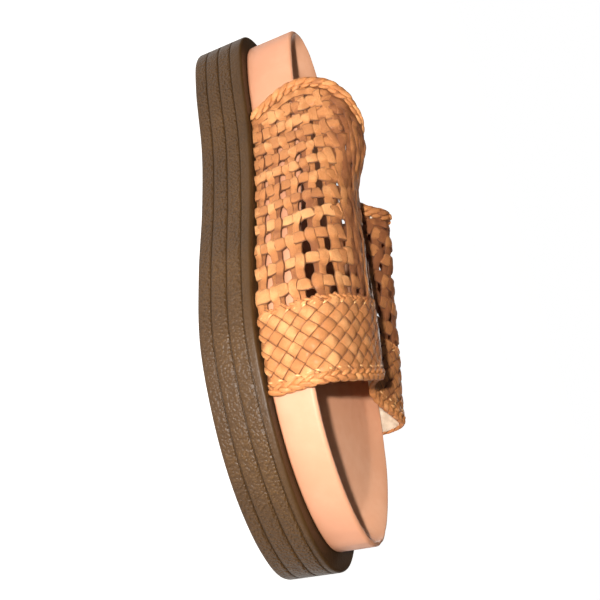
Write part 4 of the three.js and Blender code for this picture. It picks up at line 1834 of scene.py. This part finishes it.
def lobe_mesh(
    name: str, length: float, width: float, thickness: float, bend: float, point: float
) -> bpy.types.Object:
    """One pillow-shaped loop of a plait, lying along X with its top to Z.

    Args:
        name: Name of the shape.
        length: Its length.
        width: Its width.
        thickness: Its thickness.
        bend: How far its two ends drop.
        point: How much its ends narrow, from 0 to 1.

    Returns:
        The shape's object.
    """
    rings, sides = LOBE_RINGS, LOBE_SIDES
    verts, faces = [], []
    for i in range(1, rings):
        t = -1 + 2 * i / rings
        reach = (1 - abs(t) ** LOBE_FULLNESS) ** 0.5 * (1 - point * abs(t) ** 1.5 * 0.5)
        for s in range(sides):
            angle = 2 * math.pi * s / sides
            y = math.cos(angle) * width / 2 * reach
            z = math.sin(angle) * thickness / 2 * reach - bend * t * t
            verts.append((t * length / 2, y, z))
    first, last = len(verts), len(verts) + 1
    verts += [(-length / 2, 0, -bend), (length / 2, 0, -bend)]
    for i in range(rings - 2):
        for s in range(sides):
            a, b = i * sides + s, i * sides + (s + 1) % sides
            faces.append((a, a + sides, b + sides, b))
    for s in range(sides):
        faces.append((first, s, (s + 1) % sides))
        end = (rings - 2) * sides
        faces.append((last, end + (s + 1) % sides, end + s))
    return make_object(name, np.array(verts), faces)


@dataclass(frozen=True)
class LobeRow:
    """One row of loops along a free edge or the seam."""

    inset: float
    height: float
    yaw: float
    offset: float
    size: tuple[float, float, float] = (1, 1, 1)
    roll: float = 0.0


@dataclass
class EdgePlait:
    """Plait that follows one line around the upper: a core and rows of overlapping loops."""

    name: str
    shape: UpperShape
    column: Column
    shift: float
    rows: tuple[LobeRow, ...]
    pitch: float
    finish: Finish
    slot: Slot
    part: Part
    lobe: tuple[float, float, float, float, float] = (7.8, 3.1, 1.7, 0.5, 0.7)
    core: tuple[float, float, float, float] | None = None
    seed: int = 1
    size_variation: float = 0.09
    turn_variation: float = 0.12
    fine_steps: int = 1200
    ends: tuple[float, float] = (1.5, 1.0)
    loop_tone: tuple[float, float] = (0.55, 0.4)
    loop_highlight_phase: float = 0.4
    loop_run: float = 3.7
    seed_step: int = 31
    core_steps: int = 420
    core_ring: int = 16
    # A darker tone on the core, as painted shade in the groove under the loops.
    core_painted_shade_tone: float = 0.35

    def build(self, effects: SharedEffects) -> None:
        """Builds and dresses the plait.

        Args:
            effects: The shared shader groups.
        """
        material = self.finish.build(effects)
        if self.core is not None:
            self._build_core(material)
        shape = lobe_mesh(f"{self.name}_loop", *self.lobe)
        points, turn, size, shades = self._stations()
        obj = make_object(self.name, points, [])
        for key, values in {"turn": turn, "size": size, **shades}.items():
            add_values(obj, key, values)
        variations = {"Variation": self.size_variation, "Turn_Variation": self.turn_variation}
        row_of_shapes_tool().run(obj, Shape=shape, Seed=self.seed, Material=material, **variations)
        bpy.data.objects.remove(shape)
        finish_piece(obj, self.part)

    def _stations(self) -> tuple[Array, Array, Array, dict[str, Array]]:
        """Points of the loops, with their turns, sizes and values for the leather."""
        fine = np.linspace(0.004, 0.996, self.fine_steps)
        points, turns, sizes = [], [], []
        for row in self.rows:
            x, around = self.shape.beside(self.column, self.shift, row.inset, fine)
            line, = self.shape.sample(x, around, self.shape.points)
            walked = distances_along(line)
            first, last = self.ends
            stops = np.arange(first + row.offset * self.pitch, walked[-1] - last, self.pitch)
            at_x, at_around = np.interp(stops, walked, x), np.interp(stops, walked, around)
            place, out = self.shape.sample(at_x, at_around, self.shape.points, self.shape.out)
            ahead, behind = (
                np.stack([np.interp(stops + way, walked, line[:, i]) for i in range(3)], 1)
                for way in (0.5, -0.5)
            )
            points.append(place + out * row.height)
            turns += [self._turn(o, run, row) for o, run in zip(out, ahead - behind)]
            sizes.append(np.tile(row.size, (len(stops), 1)))
        n = len(turns)
        usual, own = self.loop_tone
        shades = {
            "tone": usual + own * steady_noise(self.seed * self.seed_step, n),
            # A fixed phase that the leather shows as a painted highlight on every loop.
            "phase": np.full(n, self.loop_highlight_phase),
            "run": np.arange(n) * self.loop_run,
            "edge": np.zeros(n),
            "side": np.zeros(n),
        }
        return np.vstack(points), np.array(turns), np.vstack(sizes), shades

    def _turn(self, out: Array, run: Array, row: LobeRow) -> tuple[float, float, float]:
        """Turn of one loop as Euler angles."""
        z = Vector(out).normalized()
        x = Vector(run)
        x = (x - z * x.dot(z)).normalized()
        frame_here = Matrix((x, z.cross(x), z)).transposed()
        yaw = Matrix.Rotation(math.radians(row.yaw), 3, "Z")
        roll = Matrix.Rotation(math.radians(row.roll), 3, "X")
        return tuple((frame_here @ (yaw @ roll)).to_euler())

    def _build_core(self, material: bpy.types.Material) -> None:
        """Builds the rolled strip under the loops."""
        inset, half, height, thickness = self.core
        mesh = StrandMesh(self.shape, height, thickness, ring=self.core_ring)
        fine = np.linspace(0.003, 0.997, self.core_steps)
        x, around = self.shape.beside(self.column, self.shift, inset, fine)
        n = len(x)
        # The core takes a darker tone as painted shade under the loops.
        mesh.add(x, around, np.full(n, half), np.zeros(n), np.full(n, self.core_painted_shade_tone))
        obj = mesh.make(f"{self.name}_core")
        add_values(obj, "side", np.zeros(len(obj.data.vertices)))
        obj.data.materials.append(material)
        finish_piece(obj, self.part)


@dataclass(frozen=True)
class PhotoCamera:
    """Camera at the photograph's angle to the shoe, rolled as the photograph is."""

    eye: tuple[float, float, float] = (132.9, -317.7, 135.4)
    right: tuple[float, float, float] = (0.128, 0.431, 0.893)
    down: tuple[float, float, float] = (0.929, 0.264, -0.260)
    focal: float = 765.9
    picture: int = 600
    centre: tuple[float, float] = (247.6, 298.7)
    sensor: float = 36.0
    nearest: float = 0.01
    farthest: float = 20

    def build(self) -> None:
        """Makes the camera and sets it as the scene's."""
        data = bpy.data.cameras.new("photo_camera")
        data.sensor_width = self.sensor
        data.lens = self.focal * self.sensor / self.picture
        data.shift_x = (self.picture / 2 - self.centre[0]) / self.picture
        data.shift_y = (self.centre[1] - self.picture / 2) / self.picture
        data.clip_start, data.clip_end = self.nearest, self.farthest
        obj = bpy.data.objects.new("photo_camera", data)
        x = Vector(self.right).normalized()
        y = -Vector(self.down)
        y = (y - x * y.dot(x)).normalized()
        turn = Matrix((x, y, x.cross(y))).transposed().to_4x4()
        obj.matrix_world = Matrix.Translation(Vector(self.eye) * MM) @ turn
        bpy.context.scene.collection.objects.link(obj)
        bpy.context.scene.camera = obj


@dataclass(frozen=True)
class SoftLight:
    """One square soft light aimed at the shoe."""

    name: str
    place: tuple[float, float, float]
    size: float
    power: float
    shade: Rgb = (255, 250, 244)
    glint: float = 1.0
    target: tuple[float, float, float] = (0, 0, 0.03)

    def build(self) -> None:
        """Makes the light."""
        data = bpy.data.lights.new(self.name, "AREA")
        data.size, data.energy, data.color = self.size, self.power, colour(self.shade)[:3]
        data.specular_factor = self.glint
        obj = bpy.data.objects.new(self.name, data)
        obj.location = self.place
        aim = Vector(self.target) - Vector(self.place)
        obj.rotation_euler = aim.to_track_quat("-Z", "Y").to_euler()
        bpy.context.scene.collection.objects.link(obj)


@dataclass(frozen=True)
class Studio:
    """Plain pale floor, pale surroundings and soft lights."""

    floor_half: float = 6000
    floor: PlainCloth = PlainCloth("pale_floor", (206, 205, 203), (202, 201, 199), 3.0, 0.9, 0.02)
    wall: PlainCloth = PlainCloth("pale_wall", (0, 0, 0), (0, 0, 0), 3.0, 1.0, 0.0)
    floor_glow: float = 0.96
    floor_gloss: float = 0.5
    wall_glow: float = 1.0
    wall_gloss: float = 0.0
    wall_far: float = 5000
    wall_foot: float = -10
    wall_height: float = 4000
    surroundings: float = 0.075
    surroundings_shade: tuple[float, float, float, float] = (1, 0.9, 0.8, 1)
    lights: tuple[SoftLight, ...] = (
        SoftLight("key", (0.11, -0.46, 0.137), 0.016, 4.2),
        SoftLight("top", (-0.1, 0.1, 1.5), 1.0, 1.0, (255, 232, 206)),
        SoftLight("far_side", (-0.35, 1.2, 0.2), 0.4, 3.6, glint=0.0),
    )

    def build(self, effects: SharedEffects) -> None:
        """Makes the floor, the far walls, the world and the lights.

        Args:
            effects: The shared shader groups.
        """
        h, w = self.floor_half, self.wall_far
        flat = [(-h, -h, 0), (h, -h, 0), (h, h, 0), (-h, h, 0)]
        floor = make_object("studio_floor", np.array(flat), [(0, 1, 2, 3)])
        floor.data.materials.append(self._glowing(self.floor, effects, self.floor_glow, self.floor_gloss))
        ring = [(-w, -w), (w, -w), (w, w), (-w, w)]
        corners = [(x, y, z) for z in (self.wall_foot, self.wall_height) for x, y in ring]
        sides = [(k, k + 4, (k + 1) % 4 + 4, (k + 1) % 4) for k in range(4)]
        wall = make_object("studio_wall", np.array(corners), sides)
        wall.data.shade_flat()
        wall.data.materials.append(self._glowing(self.wall, effects, self.wall_glow, self.wall_gloss))
        wall.visible_diffuse = wall.visible_glossy = wall.visible_shadow = False
        world = bpy.data.worlds.new("pale_surroundings")
        world.use_nodes = True
        shade = world.node_tree.nodes["Background"]
        shade.inputs[0].default_value = self.surroundings_shade
        shade.inputs[1].default_value = self.surroundings
        bpy.context.scene.world = world
        bpy.context.scene.view_settings.view_transform = "Standard"
        for light in self.lights:
            light.build()

    @staticmethod
    def _glowing(
        finish: PlainCloth, effects: SharedEffects, glow: float, gloss: float
    ) -> bpy.types.Material:
        """Builds a studio finish with a glow of its own.

        Args:
            finish: The finish.
            effects: The shared shader groups.
            glow: How strongly it glows.
            gloss: Its specular level.

        Returns:
            The material.
        """
        material = finish.build(effects)
        shader = next(n for n in material.node_tree.nodes if n.type == "BSDF_PRINCIPLED")
        shader.inputs["Emission Color"].default_value = (1, 1, 1, 1)
        shader.inputs["Emission Strength"].default_value = glow
        shader.inputs["Specular IOR Level"].default_value = gloss
        return material


def plaits(shape: UpperShape) -> list[EdgePlait]:
    """The plaits and stitches along the free edges and the seam, in the order they are built.

    Args:
        shape: The upper's face.

    Returns:
        The plaits.
    """
    shades = ((132, 76, 39), (186, 119, 65), (220, 156, 98))
    tan = ThongLeather("plaited_tan_leather", *shades, roughness_low=0.36)
    thread = PlainCloth("cream_thread", (226, 178, 122), (186, 138, 90), 600.0, 0.6, 0.3)
    stitch = {"slot": Slot.WOVEN, "part": Part.UPPER, "lobe": (2.5, 0.8, 0.7, 0.35, 0.3)}
    seam = 31.2
    return [
        EdgePlait(
            "collar_plait", shape, Column.COLLAR, 0.0,
            (
                LobeRow(2.2, 2.8, 24, 0.0, (1.05, 1.1, 1.0), -8),
                LobeRow(0.7, 1.6, 16, 0.5, (1.0, 0.9, 0.9), -60),
                LobeRow(4.2, 2.2, 22, 0.3, (0.8, 0.75, 0.8), 16),
            ),
            4.3, tan, Slot.BINDING, Part.COLLAR_BINDING, core=(2.3, 2.3, 1.4, 2.4), seed=11,
        ),
        EdgePlait(
            "front_plait", shape, Column.FRONT, 0.0,
            (
                LobeRow(1.0, 2.0, -15, 0.0, (0.92, 0.86, 0.95), 22),
                LobeRow(3.0, 2.3, 20, 0.5, (0.72, 0.66, 0.8), -14),
                LobeRow(0.2, 1.0, -12, 0.25, (0.9, 0.9, 0.9), 78),
            ),
            4.4, tan, Slot.BINDING, Part.FRONT_BINDING, core=(2.2, 1.9, 1.3, 2.0), seed=12,
        ),
        EdgePlait(
            "seam_plait", shape, Column.FRONT, seam,
            (
                LobeRow(0.0, 2.1, 28, 0.0, (0.46, 0.42, 0.6)),
                LobeRow(1.1, 2.1, -28, 0.5, (0.46, 0.42, 0.6)),
            ),
            3.0, tan, Slot.WOVEN, Part.UPPER, seed=13,
        ),
        EdgePlait(
            "front_stitches", shape, Column.FRONT, 0.0,
            (LobeRow(5.0, 2.25, -18, 0.0),), 3.8, thread, seed=14, **stitch,
        ),
        EdgePlait(
            "seam_stitches", shape, Column.FRONT, seam,
            (LobeRow(-1.0, 2.2, 30, 0.0),), 3.6, thread, seed=15, **stitch,
        ),
    ]


def main() -> None:
    """Builds the sandal, the studio and the camera."""
    logging.basicConfig(level=logging.INFO, format="%(name)s: %(message)s")
    PhotoCamera().build()
    effects = SharedEffects()
    Studio().build(effects)
    sole = SoleShape()
    Outsole(sole).build(effects)
    Footbed(sole).build(effects)
    shape = UpperShape(sole)
    WovenUpper(shape).build(effects)
    cream = PlainCloth("cream_lining", (206, 190, 170), (176, 158, 136), 300.0, 0.85, 0.5)
    LiningStrip("front_lining", shape, Column.FRONT, 0.6, 30, cream).build(effects)
    LiningStrip("collar_lining", shape, Column.COLLAR, 0.8, 6, cream).build(effects)
    for plait in plaits(shape):
        plait.build(effects)


if __name__ == "__main__":
    main()
